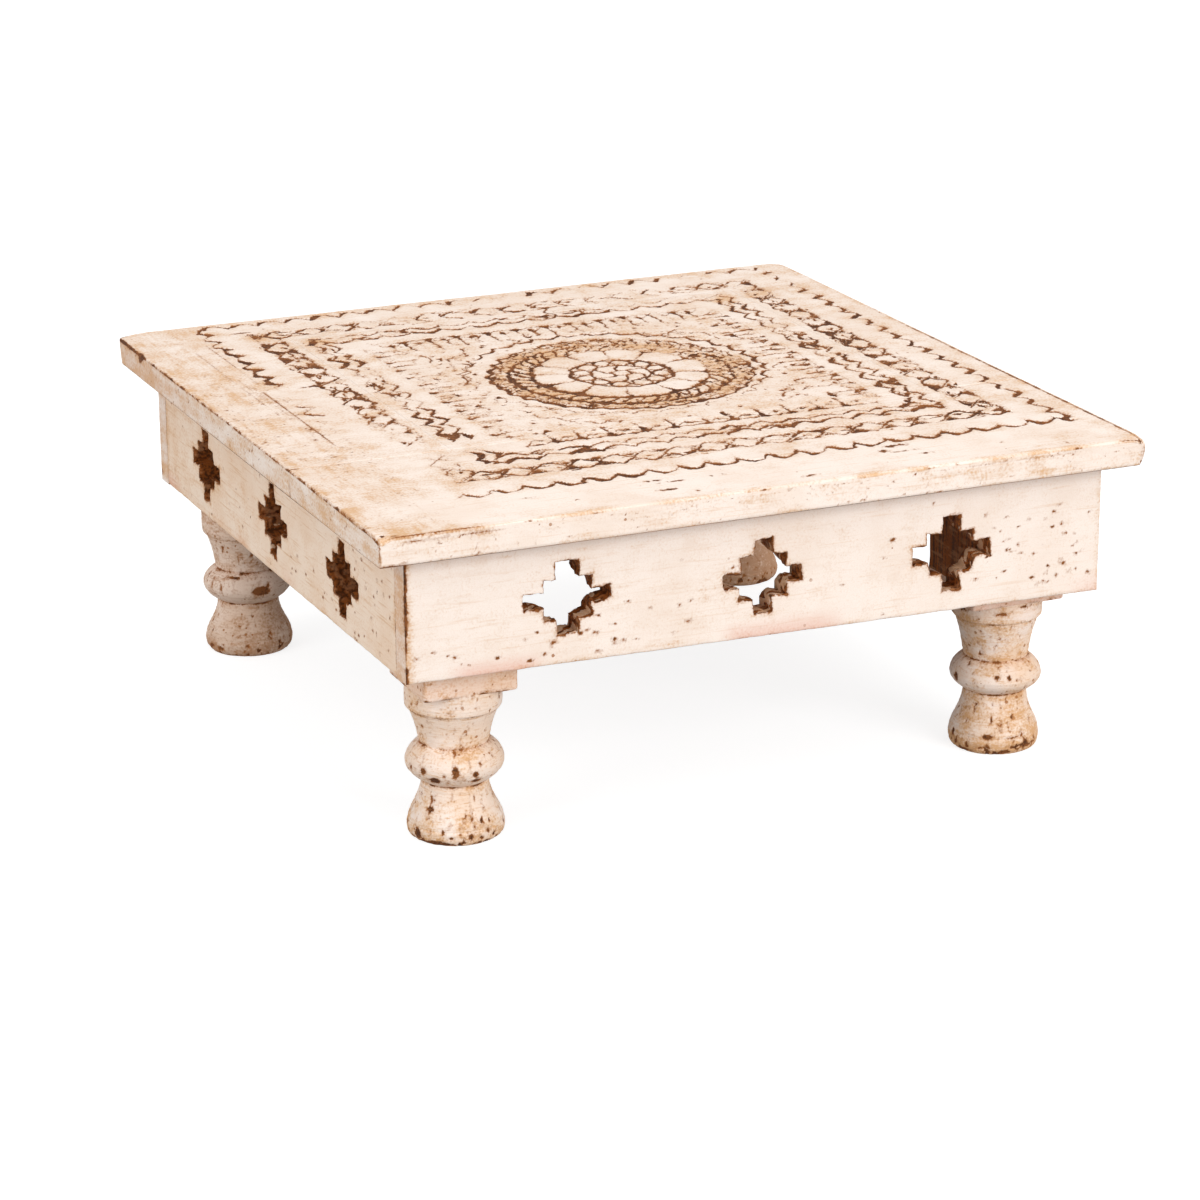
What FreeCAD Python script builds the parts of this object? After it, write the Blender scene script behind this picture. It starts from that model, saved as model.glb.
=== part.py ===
"""Bajot: a low square table with a carved top, four pierced apron boards and four turned feet.

Millimetres, +Z up. The origin is on the floor under the middle of the tabletop. The front is on
the -Y side, and +X runs from left to right as seen from the front.
"""
import FreeCAD, Part
import math
import os
import re

import Sketcher

V = FreeCAD.Vector

# The driving dimensions, in millimetres
SIZES = {
    # Whole table
    "table_height": 140,
    "top_width": 330,
    "top_depth": 330,
    # Tabletop: two boards glued edge to edge, the narrow one at the front
    "top_thickness": 12,
    "front_board_width": 100,
    "top_arris_radius": 1.8,
    "front_lower_radius": 4,
    "back_left_corner_radius": 5,
    "back_right_corner_radius": 9,
    # Carving of the top: square frames in from its edges, then in from the outer frame
    "frame_left_inset": 37.5,
    "frame_right_inset": 14,
    "frame_front_inset": 39,
    "frame_back_inset": 7,
    "zigzag_inset": 37.8,
    "comb_inset": 55,
    "frame_groove_width": 2.4,
    "frame_groove_depth": 1,
    # The rosette: its centre off the middle of the top, its rings and the gaps between its petals
    "rosette_x": 14,
    "rosette_y": 14,
    "rosette_rim_radius": 56.2,
    "rope_outer_radius": 48,
    "rope_inner_radius": 37.4,
    "petal_foot_radius": 22,
    "ring_groove_width": 3.2,
    "ring_groove_depth": 1.3,
    "petal_gap_width": 3.6,
    # Apron: how far the top stands out past it, and its boards
    "side_overhang": 13,
    "end_overhang": 10,
    "apron_height": 53,
    "apron_thickness": 11,
    "apron_arris_radius": 1,
    # Pierced stepped crosses, three to a board
    "cutout_width": 36,
    "cutout_height": 32,
    "cutout_arm_width": 7.6,
    "cutout_arm_height": 6.6,
    "cutout_step_width": 20.4,
    "cutout_step_height": 17.8,
    "cutout_drop": 1.5,
    "cutout_reach": 1,
    # Legs: a square block inside each corner, turned below
    "leg_block": 40,
    "block_drop": 11,
    "collar_radius": 19.3,
    "flare_radius": 17.6,
    "bead_step": 1.1,
    "upper_neck_radius": 14,
    "bulb_shoulder_radius": 17.9,
    "bulb_crown_radius": 8.1,
    "lower_neck_radius": 13.7,
    "foot_waist_radius": 15.2,
    "foot_shoulder_radius": 18.2,
    "foot_roll_radius": 9.4,
    "foot_base_radius": 18,
    # Where the turned profile changes, as shares of the height under the block
    "collar_share": 0.866,
    "bead_share": 0.841,
    "upper_neck_share": 0.644,
    "bulb_high_share": 0.572,
    "bulb_low_share": 0.406,
    "lower_neck_share": 0.33,
    "foot_waist_share": 0.238,
    "foot_shoulder_share": 0.153,
    # Nails, cut square: the head's top is the nail's origin and the shank runs down from it
    "nail_length": 28,
    "nail_width": 1.8,
    "nail_head_width": 4,
    "nail_head_thickness": 0.9,
    "nail_point_length": 3,
    "nail_point_width": 0.6,
    "nail_clearance": 0.05,
    "nail_sink": 0.3,
    # Where the nails go: heights above the apron's lower edge, and the offset on the top
    "outer_nail_low": 10,
    "outer_nail_high": 43,
    "inner_nail_low": 18,
    "inner_nail_high": 35,
    "top_nail_offset": 12.5,
}

# Places that several pieces share, worked out from the driving dimensions
UNDERSIDE = "(table_height - top_thickness)"
APRON_BOTTOM = f"({UNDERSIDE} - apron_height)"
BLOCK_BOTTOM = f"({APRON_BOTTOM} - block_drop)"
HALF_WIDTH = "(top_width / 2)"
HALF_DEPTH = "(top_depth / 2)"
APRON_HALF_X = f"({HALF_WIDTH} - side_overhang)"
APRON_HALF_Y = f"({HALF_DEPTH} - end_overhang)"
LEG_X = f"({APRON_HALF_X} - apron_thickness - leg_block / 2)"
LEG_Y = f"({APRON_HALF_Y} - apron_thickness - leg_block / 2)"
SEAM_Y = f"(front_board_width - {HALF_DEPTH})"
SIDE_HALF_LENGTH = f"({APRON_HALF_Y} - apron_thickness)"
NAIL_HOLE_WIDTH = "(nail_width + 2 * nail_clearance)"
HEAD_HOLE_WIDTH = "(nail_head_width + 2 * nail_clearance)"
HEAD_HOLE_DEPTH = "(nail_head_thickness + nail_sink)"
NAIL_REACH = "(nail_length + nail_sink + nail_clearance)"

doc = FreeCAD.newDocument("Bajot")
sheet = doc.addObject("Spreadsheet::Sheet", "Sizes")
for row, (alias, size) in enumerate(SIZES.items(), start=1):
    sheet.set(f"A{row}", alias)
    sheet.set(f"B{row}", str(size))
    sheet.setAlias(f"B{row}", alias)
doc.recompute()


def bound(expression):
    """Write an expression of plain size names as one that reads the sheet's cells."""
    return re.sub(r"[a-z]\w*", lambda word: f"Sizes.{word.group()}", expression)


def value(expression):
    """The number that an expression of size names gives now."""
    return float(sheet.evalExpression(bound(expression)))


def bind(thing, name, expression):
    """Tie one property or constraint of an object to the sheet."""
    thing.setExpression(name, bound(expression))


def place(thing, x, y, z, rotation=FreeCAD.Rotation()):
    """Put an object at a place bound to the sheet, turned by a fixed rotation."""
    thing.Placement = FreeCAD.Placement(V(), rotation)
    for axis, expression in zip("xyz", (x, y, z)):
        bind(thing, f"Placement.Base.{axis}", expression)


def new_body(label):
    """Start a body that carries one sub-part."""
    body = doc.addObject("PartDesign::Body", label)
    body.Label = label
    return body


def new_sketch(body, name, role, offset="0"):
    """Start a sketch on one of the body's own origin planes, lifted by an offset along its normal."""
    sketch = body.newObject("Sketcher::SketchObject", name)
    plane = next(item for item in body.Origin.OriginFeatures if item.Role == role)
    sketch.AttachmentSupport = [(plane, "")]
    sketch.MapMode = "FlatFace"
    bind(sketch, "AttachmentOffset.Base.z", offset)
    return sketch


def pin_point(sketch, geometry, end, x, y):
    """Fix one end of a piece of geometry at coordinates bound to the sheet."""
    for kind, expression in (("DistanceX", x), ("DistanceY", y)):
        index = sketch.addConstraint(Sketcher.Constraint(kind, -1, 1, geometry, end, value(expression)))
        bind(sketch, f"Constraints[{index}]", expression)


def arc_between(start, end, radius, turn):
    """An arc from start to end that turns left (turn 1) or right (turn -1), and its first end's index.

    A sketch keeps every arc anticlockwise, so one that turns right is stored from its far end.
    """
    chord = end - start
    half = chord.Length / 2
    rise = math.sqrt(max(radius ** 2 - half ** 2, 0))
    side = V(-chord.y, chord.x, 0).normalize() * (rise * turn)
    centre = start + chord / 2 + side
    first, last = (start, end) if turn > 0 else (end, start)
    angles = [math.atan2(point.y - centre.y, point.x - centre.x) for point in (first, last)]
    circle = Part.Circle(centre, V(0, 0, 1), radius)
    return Part.ArcOfCircle(circle, *angles), (1 if turn > 0 else 2)


def draw_outline(sketch, corners):
    """Close an outline through corners given as (x, y) or (x, y, radius, turn) in size names.

    The radius and turn belong to the arc that leaves that corner. The other sides are straight.
    """
    points = [V(value(corner[0]), value(corner[1]), 0) for corner in corners]
    ends = []
    for corner, start, end in zip(corners, points, points[1:] + points[:1]):
        if len(corner) == 2:
            geometry, first = sketch.addGeometry(Part.LineSegment(start, end)), 1
        else:
            arc, first = arc_between(start, end, value(corner[2]), corner[3])
            geometry = sketch.addGeometry(arc)
            index = sketch.addConstraint(Sketcher.Constraint("Radius", geometry, arc.Radius))
            bind(sketch, f"Constraints[{index}]", corner[2])
        ends.append((geometry, first))
    for (geometry, first), corner in zip(ends, corners):
        pin_point(sketch, geometry, first, corner[0], corner[1])
    for (geometry, first), (following, next_first) in zip(ends, ends[1:] + ends[:1]):
        sketch.addConstraint(Sketcher.Constraint("Coincident", geometry, 3 - first, following, next_first))


def rectangle(left, right, low, high):
    """The four corners of an upright rectangle."""
    return [(left, low), (right, low), (right, high), (left, high)]


def draw_squares(sketch, centres, width):
    """Draw equal upright squares round centres given in size names."""
    for x, y in centres:
        sides = [f"{middle} {sign} {width} / 2" for middle in (x, y) for sign in ("-", "+")]
        draw_outline(sketch, rectangle(*sides))


def add_pad(body, name, sketch, length):
    """Raise a sketch into a solid along its normal."""
    pad = body.newObject("PartDesign::Pad", name)
    pad.Profile = sketch
    bind(pad, "Length", length)
    doc.recompute()
    return pad


def add_pocket(body, name, sketch, depth, up=False):
    """Cut a sketch out of the body, down its normal or up it, and see that it removes wood."""
    before = body.Shape.Volume
    pocket = body.newObject("PartDesign::Pocket", name)
    pocket.Profile = sketch
    pocket.Reversed = up
    bind(pocket, "Length", depth)
    doc.recompute()
    if body.Shape.Volume >= before:
        raise RuntimeError(f"{body.Label}: {name} cut nothing")
    return pocket


def edges_where(shape, test, upright):
    """Names of the edges whose ends all pass a test on a point, all of them or only the upright ones."""
    names = []
    for number, edge in enumerate(shape.Edges, start=1):
        box = edge.BoundBox
        stands = math.isclose(box.ZLength, edge.Length, abs_tol=1e-6)
        if all(test(vertex.Point) for vertex in edge.Vertexes) and (stands or not upright):
            names.append(f"Edge{number}")
    return names


def near(number, expression):
    """Whether a coordinate lies at the place that an expression gives."""
    return math.isclose(number, value(expression), abs_tol=1e-6)


def round_edges(body, name, base, test, radius, upright=False):
    """Round the edges of a feature whose ends pass a test."""
    fillet = body.newObject("PartDesign::Fillet", name)
    fillet.Base = (base, edges_where(base.Shape, test, upright))
    bind(fillet, "Radius", radius)
    doc.recompute()
    return fillet


# The rings of the rosette, from its rim to the feet of its petals
ROSETTE_RINGS = ("rosette_rim_radius", "rope_outer_radius", "rope_inner_radius", "petal_foot_radius")

# Nail holes: two on each of a leg block's outer faces, at heights that miss each other inside
OUTER_NAILS = ("outer_nail_low", "outer_nail_high")
INNER_NAILS = ("inner_nail_low", "inner_nail_high")


def make_top_board(label, low_y, high_y, leg_y, front):
    """One tabletop board, lying flat from low_y to high_y, with nail holes over its two legs."""
    body = new_body(label)
    place(body, "0", "0", UNDERSIDE)
    face = new_sketch(body, f"{label}_outline", "XY_Plane")
    draw_outline(face, rectangle(f"-{HALF_WIDTH}", HALF_WIDTH, low_y, high_y))
    last = add_pad(body, f"{label}_blank", face, "top_thickness")

    outer_y = low_y if front else high_y
    if front:
        last = round_edges(
            body, f"{label}_lower_edge", last,
            lambda p: near(p.y, outer_y) and near(p.z, "0"), "front_lower_radius",
        )
    else:
        last = round_edges(
            body, f"{label}_left_corner", last,
            lambda p: near(p.y, outer_y) and p.x < 0, "back_left_corner_radius", upright=True,
        )
        last = round_edges(
            body, f"{label}_right_corner", last,
            lambda p: near(p.y, outer_y) and p.x > 0, "back_right_corner_radius", upright=True,
        )
    round_edges(
        body, f"{label}_arris", last,
        lambda p: near(p.z, "top_thickness") and (near(abs(p.x), HALF_WIDTH) or near(p.y, outer_y)),
        "top_arris_radius",
    )

    spots = [
        (f"{side}{LEG_X} {sign} top_nail_offset", f"{leg_y} {sign} top_nail_offset")
        for side in ("-", "")
        for sign in ("-", "+")
    ]
    shanks = new_sketch(body, f"{label}_nail_holes", "XY_Plane")
    draw_squares(shanks, spots, NAIL_HOLE_WIDTH)
    add_pocket(body, f"{label}_nail_bores", shanks, "top_thickness", up=True)
    heads = new_sketch(body, f"{label}_head_holes", "XY_Plane", "top_thickness")
    draw_squares(heads, spots, HEAD_HOLE_WIDTH)
    add_pocket(body, f"{label}_head_bores", heads, HEAD_HOLE_DEPTH)
    carve_frames(body, label)
    if not front:
        carve_rosette(body, label)
    return body


def carve_frames(body, label):
    """Cut the square frames of the carving. They run across both boards, which share one origin."""
    frames = new_sketch(body, f"{label}_frames", "XY_Plane", "top_thickness")
    for inset in ("0", "zigzag_inset", "comb_inset"):
        for side in ("-", "+"):
            far = f"({inset} {side} frame_groove_width / 2)"
            draw_outline(frames, rectangle(
                f"frame_left_inset + {far} - {HALF_WIDTH}", f"{HALF_WIDTH} - frame_right_inset - {far}",
                f"frame_front_inset + {far} - {HALF_DEPTH}", f"{HALF_DEPTH} - frame_back_inset - {far}",
            ))
    add_pocket(body, f"{label}_frame_grooves", frames, "frame_groove_depth")


def carve_rosette(body, label):
    """Cut the rosette: V-shaped rings swept round its centre, then twelve gaps that part its petals."""
    rings = new_sketch(body, f"{label}_rings", "XZ_Plane", "-rosette_y")
    bind(rings, "AttachmentOffset.Base.x", "rosette_x")
    for radius in ROSETTE_RINGS:
        draw_outline(rings, [
            (f"{radius} - ring_groove_width / 2", "top_thickness"),
            (radius, "top_thickness - ring_groove_depth"),
            (f"{radius} + ring_groove_width / 2", "top_thickness"),
        ])
    before = body.Shape.Volume
    turning = body.newObject("PartDesign::Groove", f"{label}_ring_grooves")
    turning.Profile = rings
    turning.ReferenceAxis = (rings, ["V_Axis"])
    turning.Angle = 360
    doc.recompute()
    if body.Shape.Volume >= before:
        raise RuntimeError(f"{label}: the rings cut nothing")

    gap = new_sketch(body, f"{label}_petal_gap", "XY_Plane", "top_thickness")
    bind(gap, "AttachmentOffset.Base.x", "rosette_x")
    bind(gap, "AttachmentOffset.Base.y", "rosette_y")
    draw_outline(gap, [
        ("petal_foot_radius", "0"),
        ("rope_inner_radius", "-petal_gap_width / 2"),
        ("rope_inner_radius", "petal_gap_width / 2"),
    ])
    cut = add_pocket(body, f"{label}_petal_cut", gap, "frame_groove_depth")
    petals = body.newObject("PartDesign::PolarPattern", f"{label}_petals")
    petals.Originals = [cut]
    petals.Axis = (gap, ["N_Axis"])
    petals.Angle = 360
    petals.Occurrences = 12
    body.Tip = petals
    doc.recompute()


def stepped_cross(centre_x, centre_y):
    """The 20 corners of a pierced stepped cross: four narrow arms on a block with stepped corners."""
    steps = [
        ("cutout_width", "cutout_arm_height"),
        ("cutout_step_width", "cutout_arm_height"),
        ("cutout_step_width", "cutout_step_height"),
        ("cutout_arm_width", "cutout_step_height"),
        ("cutout_arm_width", "cutout_height"),
    ]
    quarters = [("+", "+", steps), ("-", "+", steps[::-1]), ("-", "-", steps), ("+", "-", steps[::-1])]
    return [
        (f"{centre_x} {sign_x} {wide} / 2", f"{centre_y} {sign_y} {high} / 2")
        for sign_x, sign_y, quarter in quarters
        for wide, high in quarter
    ]


def make_apron_board(label, half_length, block_x, corner_nail_x, x, y, turn):
    """One pierced apron board, drawn flat with its show face up, then stood on edge.

    Its sketch plane is the inner face: X runs along the board and Y up it. block_x is the distance
    from its middle to a leg's axis, and corner_nail_x, where given, to a nail into the next board.
    """
    body = new_body(label)
    place(body, x, y, APRON_BOTTOM, FreeCAD.Rotation(V(0, 0, 1), turn) * FreeCAD.Rotation(V(1, 0, 0), 90))
    face = new_sketch(body, f"{label}_outline", "XY_Plane")
    draw_outline(face, rectangle(f"-{half_length}", half_length, "0", "apron_height"))
    blank = add_pad(body, f"{label}_blank", face, "apron_thickness")
    round_edges(
        body, f"{label}_arris", blank,
        lambda p: near(p.z, "apron_thickness") and not near(p.y, "apron_height"), "apron_arris_radius",
    )

    pitch = f"({block_x} - leg_block / 2 + cutout_reach - cutout_width / 2)"
    cross = new_sketch(body, f"{label}_cross", "XY_Plane")
    draw_outline(cross, stepped_cross(f"-{pitch}", "apron_height / 2 - cutout_drop"))
    cutout = add_pocket(body, f"{label}_cutout", cross, "apron_thickness", up=True)
    row = body.newObject("PartDesign::LinearPattern", f"{label}_cutouts")
    row.Originals = [cutout]
    row.Direction = (cross, ["H_Axis"])
    row.Occurrences = 3
    bind(row, "Length", f"2 * {pitch}")
    body.Tip = row
    doc.recompute()

    if not corner_nail_x:
        for end, side, up in (("right", "", False), ("left", "-", True)):
            butt = new_sketch(body, f"{label}_{end}_end", "YZ_Plane", f"{side}{half_length}")
            draw_squares(butt, [("apron_height / 2", "apron_thickness / 2")], NAIL_HOLE_WIDTH)
            add_pocket(body, f"{label}_{end}_bore", butt, f"{NAIL_REACH} - apron_thickness", up=up)

    spots = apron_nail_spots(block_x, corner_nail_x)
    shanks = new_sketch(body, f"{label}_nail_holes", "XY_Plane")
    draw_squares(shanks, spots, NAIL_HOLE_WIDTH)
    add_pocket(body, f"{label}_nail_bores", shanks, "apron_thickness", up=True)
    heads = new_sketch(body, f"{label}_head_holes", "XY_Plane", "apron_thickness")
    draw_squares(heads, spots, HEAD_HOLE_WIDTH)
    add_pocket(body, f"{label}_head_bores", heads, HEAD_HOLE_DEPTH)
    return body


def apron_nail_spots(block_x, corner_nail_x):
    """Where a board's nails stand, along it and up it: two into each leg, one into each next board."""
    spots = [(f"-{block_x}", height) for height in OUTER_NAILS]
    spots += [(block_x, height) for height in INNER_NAILS]
    if corner_nail_x:
        spots += [(f"{side}{corner_nail_x}", "apron_height / 2") for side in ("-", "")]
    return spots


def make_leg(label, x, y, turn, top_spots):
    """One leg: a square block with a turned foot. All four are alike, each turned a quarter further.

    Drawn for the front left corner: its outer faces look along -X and -Y.
    """
    body = new_body(label)
    place(body, x, y, "0", FreeCAD.Rotation(V(0, 0, 1), turn))

    square = new_sketch(body, f"{label}_square", "XY_Plane", BLOCK_BOTTOM)
    half = "leg_block / 2"
    draw_outline(square, rectangle(f"-{half}", half, f"-{half}", half))
    add_pad(body, f"{label}_block", square, f"{UNDERSIDE} - {BLOCK_BOTTOM}")

    profile = new_sketch(body, f"{label}_profile", "XZ_Plane")
    bead = f"{BLOCK_BOTTOM} * bead_share"
    draw_outline(profile, [
        ("0", "0"),
        ("foot_base_radius", "0", "foot_roll_radius", 1),
        ("foot_shoulder_radius", f"{BLOCK_BOTTOM} * foot_shoulder_share"),
        ("foot_waist_radius", f"{BLOCK_BOTTOM} * foot_waist_share"),
        ("lower_neck_radius", f"{BLOCK_BOTTOM} * lower_neck_share"),
        ("bulb_shoulder_radius", f"{BLOCK_BOTTOM} * bulb_low_share", "bulb_crown_radius", 1),
        ("bulb_shoulder_radius", f"{BLOCK_BOTTOM} * bulb_high_share"),
        ("upper_neck_radius", f"{BLOCK_BOTTOM} * upper_neck_share"),
        ("flare_radius", bead),
        ("flare_radius + bead_step", bead),
        ("collar_radius", f"{BLOCK_BOTTOM} * collar_share"),
        ("collar_radius", BLOCK_BOTTOM),
        ("0", BLOCK_BOTTOM),
    ])
    turning = body.newObject("PartDesign::Revolution", f"{label}_turning")
    turning.Profile = profile
    turning.ReferenceAxis = (profile, ["V_Axis"])
    turning.Angle = 360
    doc.recompute()

    drilled = f"{NAIL_REACH} - apron_thickness"
    outer = [("0", f"{APRON_BOTTOM} + {height}") for height in OUTER_NAILS]
    front_face = new_sketch(body, f"{label}_front_nails", "XZ_Plane", half)
    draw_squares(front_face, outer, NAIL_HOLE_WIDTH)
    add_pocket(body, f"{label}_front_bores", front_face, drilled)
    inner = [("0", f"{APRON_BOTTOM} + {height}") for height in INNER_NAILS]
    side_face = new_sketch(body, f"{label}_side_nails", "YZ_Plane", f"-{half}")
    draw_squares(side_face, inner, NAIL_HOLE_WIDTH)
    add_pocket(body, f"{label}_side_bores", side_face, drilled, up=True)
    top_face = new_sketch(body, f"{label}_top_nails", "XY_Plane", UNDERSIDE)
    draw_squares(top_face, top_spots, NAIL_HOLE_WIDTH)
    add_pocket(body, f"{label}_top_bores", top_face, f"{NAIL_REACH} - top_thickness")
    return body


def make_nail():
    """The one nail that every group repeats: a flat square head, a square shank and a blunt point."""
    body = new_body("nail")
    head = new_sketch(body, "nail_head_outline", "XY_Plane", "-nail_head_thickness")
    draw_squares(head, [("0", "0")], "nail_head_width")
    add_pad(body, "nail_head", head, "nail_head_thickness")
    shank = new_sketch(body, "nail_shank_outline", "XY_Plane", "nail_point_length - nail_length")
    draw_squares(shank, [("0", "0")], "nail_width")
    add_pad(body, "nail_shank", shank, "nail_length - nail_point_length - nail_head_thickness")
    tip = new_sketch(body, "nail_tip_outline", "XY_Plane", "-nail_length")
    draw_squares(tip, [("0", "0")], "nail_point_width")
    point = body.newObject("PartDesign::AdditiveLoft", "nail_point")
    point.Profile = shank
    point.Sections = [tip]
    point.Ruled = True
    doc.recompute()
    return body


def make_nail_group(label, nail, places, rotation):
    """A group of equal nails at places given in size names, all pointing one way."""
    links = []
    for number, spot in enumerate(places, start=1):
        link = doc.addObject("App::Link", f"{label}_{number}")
        link.LinkedObject = nail
        place(link, *spot, rotation)
        links.append(link)
    group = doc.addObject("Part::Compound", label)
    group.Label = label
    group.Links = links
    return group


def make_apron_nails(label, nail, spots, outward, reach):
    """The nails of one apron board: outward is the side it faces, reach its distance from the middle."""
    depth = f"({reach} - nail_sink)"
    lay = {
        "front": lambda along: (along, f"-{depth}"),
        "right": lambda along: (depth, along),
        "back": lambda along: (f"-({along})", depth),
        "left": lambda along: (f"-{depth}", f"-({along})"),
    }
    heading = {"front": 0, "right": 90, "back": 180, "left": 270}
    upright = FreeCAD.Rotation(V(0, 0, 1), heading[outward]) * FreeCAD.Rotation(V(1, 0, 0), 90)
    places = [(*lay[outward](along), f"{APRON_BOTTOM} + {height}") for along, height in spots]
    return make_nail_group(label, nail, places, upright)


def check_document():
    """Stop if any object failed to compute."""
    for item in doc.Objects:
        if {"Invalid", "Error"} & set(item.State):
            raise RuntimeError(f"{item.Label} did not compute: {item.State}")


def check_shape(piece, solids):
    """Stop if a sub-part's shape is empty, not valid, or not the number of solids it should be."""
    shape = piece.Shape
    if shape.isNull() or not shape.isValid() or len(shape.Solids) != solids:
        raise RuntimeError(f"{piece.Label}: shape is not {solids} valid solid(s)")


# Tabletop
wood = [
    make_top_board("top_front_board", f"-{HALF_DEPTH}", SEAM_Y, f"-{LEG_Y}", front=True),
    make_top_board("top_back_board", SEAM_Y, HALF_DEPTH, LEG_Y, front=False),
]

# Apron: the front and back boards run the full width, and the side boards butt against them
CORNER_NAIL_X = f"({APRON_HALF_X} - apron_thickness / 2)"
LONG_BOARD = dict(half_length=APRON_HALF_X, block_x=LEG_X, corner_nail_x=CORNER_NAIL_X)
SIDE_BOARD = dict(half_length=SIDE_HALF_LENGTH, block_x=LEG_Y, corner_nail_x=None)
INNER_X = f"({APRON_HALF_X} - apron_thickness)"
wood += [
    make_apron_board("front_apron", **LONG_BOARD, x="0", y=f"-{SIDE_HALF_LENGTH}", turn=0),
    make_apron_board("right_apron", **SIDE_BOARD, x=INNER_X, y="0", turn=90),
    make_apron_board("back_apron", **LONG_BOARD, x="0", y=SIDE_HALF_LENGTH, turn=180),
    make_apron_board("left_apron", **SIDE_BOARD, x=f"-{INNER_X}", y="0", turn=270),
]

# Legs, anticlockwise from the front left: the two top nails of a leg lie on one diagonal
RISING = [(f"{sign}top_nail_offset", f"{sign}top_nail_offset") for sign in ("-", "")]
FALLING = [(f"{sign}top_nail_offset", f"{other}top_nail_offset") for sign, other in (("-", ""), ("", "-"))]
wood += [
    make_leg("front_left_leg", f"-{LEG_X}", f"-{LEG_Y}", 0, RISING),
    make_leg("front_right_leg", LEG_X, f"-{LEG_Y}", 90, FALLING),
    make_leg("back_right_leg", LEG_X, LEG_Y, 180, RISING),
    make_leg("back_left_leg", f"-{LEG_X}", LEG_Y, 270, FALLING),
]

# Nails, in one group for the top and one for each apron board
nail = make_nail()
SUNK_TOP = "table_height - nail_sink"
TOP_PLACES = [
    (f"{side}{LEG_X} {sign} top_nail_offset", f"{end}{LEG_Y} {sign} top_nail_offset", SUNK_TOP)
    for side in ("-", "")
    for end in ("-", "")
    for sign in ("-", "+")
]
LONG_SPOTS = apron_nail_spots(LEG_X, CORNER_NAIL_X)
SIDE_SPOTS = apron_nail_spots(LEG_Y, None)
nails = [
    (make_nail_group("top_nails", nail, TOP_PLACES, FreeCAD.Rotation()), len(TOP_PLACES)),
    (make_apron_nails("front_apron_nails", nail, LONG_SPOTS, "front", APRON_HALF_Y), len(LONG_SPOTS)),
    (make_apron_nails("right_apron_nails", nail, SIDE_SPOTS, "right", APRON_HALF_X), len(SIDE_SPOTS)),
    (make_apron_nails("back_apron_nails", nail, LONG_SPOTS, "back", APRON_HALF_Y), len(LONG_SPOTS)),
    (make_apron_nails("left_apron_nails", nail, SIDE_SPOTS, "left", APRON_HALF_X), len(SIDE_SPOTS)),
]

doc.recompute()
check_document()
pieces = [(piece, 1) for piece in wood] + nails
for piece, solids in pieces:
    check_shape(piece, solids)

os.makedirs("parts", exist_ok=True)
for piece, solids in pieces:
    piece.Shape.exportStep(f"parts/{piece.Label}.step")
    box = piece.Shape.BoundBox
    print(f"{piece.Label}: {solids} solid(s), {box.XLength:.1f} x {box.YLength:.1f} x {box.ZLength:.1f} mm")
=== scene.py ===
"""Bajot low table, dressed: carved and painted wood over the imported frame.

Sizes in the classes are millimetres in the frame of the CAD part, with +Z up and the front on
the -Y side. Meshes are written in metres.

A reach is the distance in millimetres from a point to the edge of a cut, a chip or a line, above
zero inside it. Half widths and rough edges are added to it, and a lost part is taken off.
"""

import logging
import math
from dataclasses import dataclass
from enum import Enum, IntEnum
from functools import reduce

import bpy
import numpy as np
from mathutils import Matrix, Vector


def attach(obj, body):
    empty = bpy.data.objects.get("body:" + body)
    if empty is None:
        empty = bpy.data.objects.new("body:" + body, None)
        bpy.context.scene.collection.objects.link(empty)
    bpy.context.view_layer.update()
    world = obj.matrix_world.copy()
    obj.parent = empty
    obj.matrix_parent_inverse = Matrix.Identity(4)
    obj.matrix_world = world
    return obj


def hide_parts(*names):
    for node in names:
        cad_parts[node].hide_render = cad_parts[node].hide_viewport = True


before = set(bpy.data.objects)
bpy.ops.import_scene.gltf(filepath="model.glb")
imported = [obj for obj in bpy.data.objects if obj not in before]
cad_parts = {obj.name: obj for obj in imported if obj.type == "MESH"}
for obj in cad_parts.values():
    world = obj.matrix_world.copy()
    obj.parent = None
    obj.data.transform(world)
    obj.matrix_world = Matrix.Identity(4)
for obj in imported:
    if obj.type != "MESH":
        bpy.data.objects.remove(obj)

log = logging.getLogger("bajot")
MM = 0.001
Array = np.ndarray

# Random numbers along each side of a noise table, and in a table of chances: powers of two
LATTICE = 128
LOTS = 512

# The span of reaches that a mask stores as 0 to 1, and a reach that is far outside everything
MASK_SPAN = 4.0
NOWHERE = -9.0

# The corners' signs along X and Y, from the front left one round
CORNERS = ((-1, -1), (1, -1), (1, 1), (-1, 1))


# Numbers and noise

def smooth(low: float, high: float, value: Array) -> Array:
    """Rise from 0 at low to 1 at high along 3u^2 - 2u^3, flat outside."""
    u = np.clip((value - low) / (high - low), 0, 1)
    return u * u * (3 - 2 * u)


def bell(value: Array, middle: float, spread: float) -> Array:
    """A hump of height 1: exp(-((value - middle) / spread)^2)."""
    return np.exp(-((value - middle) / spread) ** 2)


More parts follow.
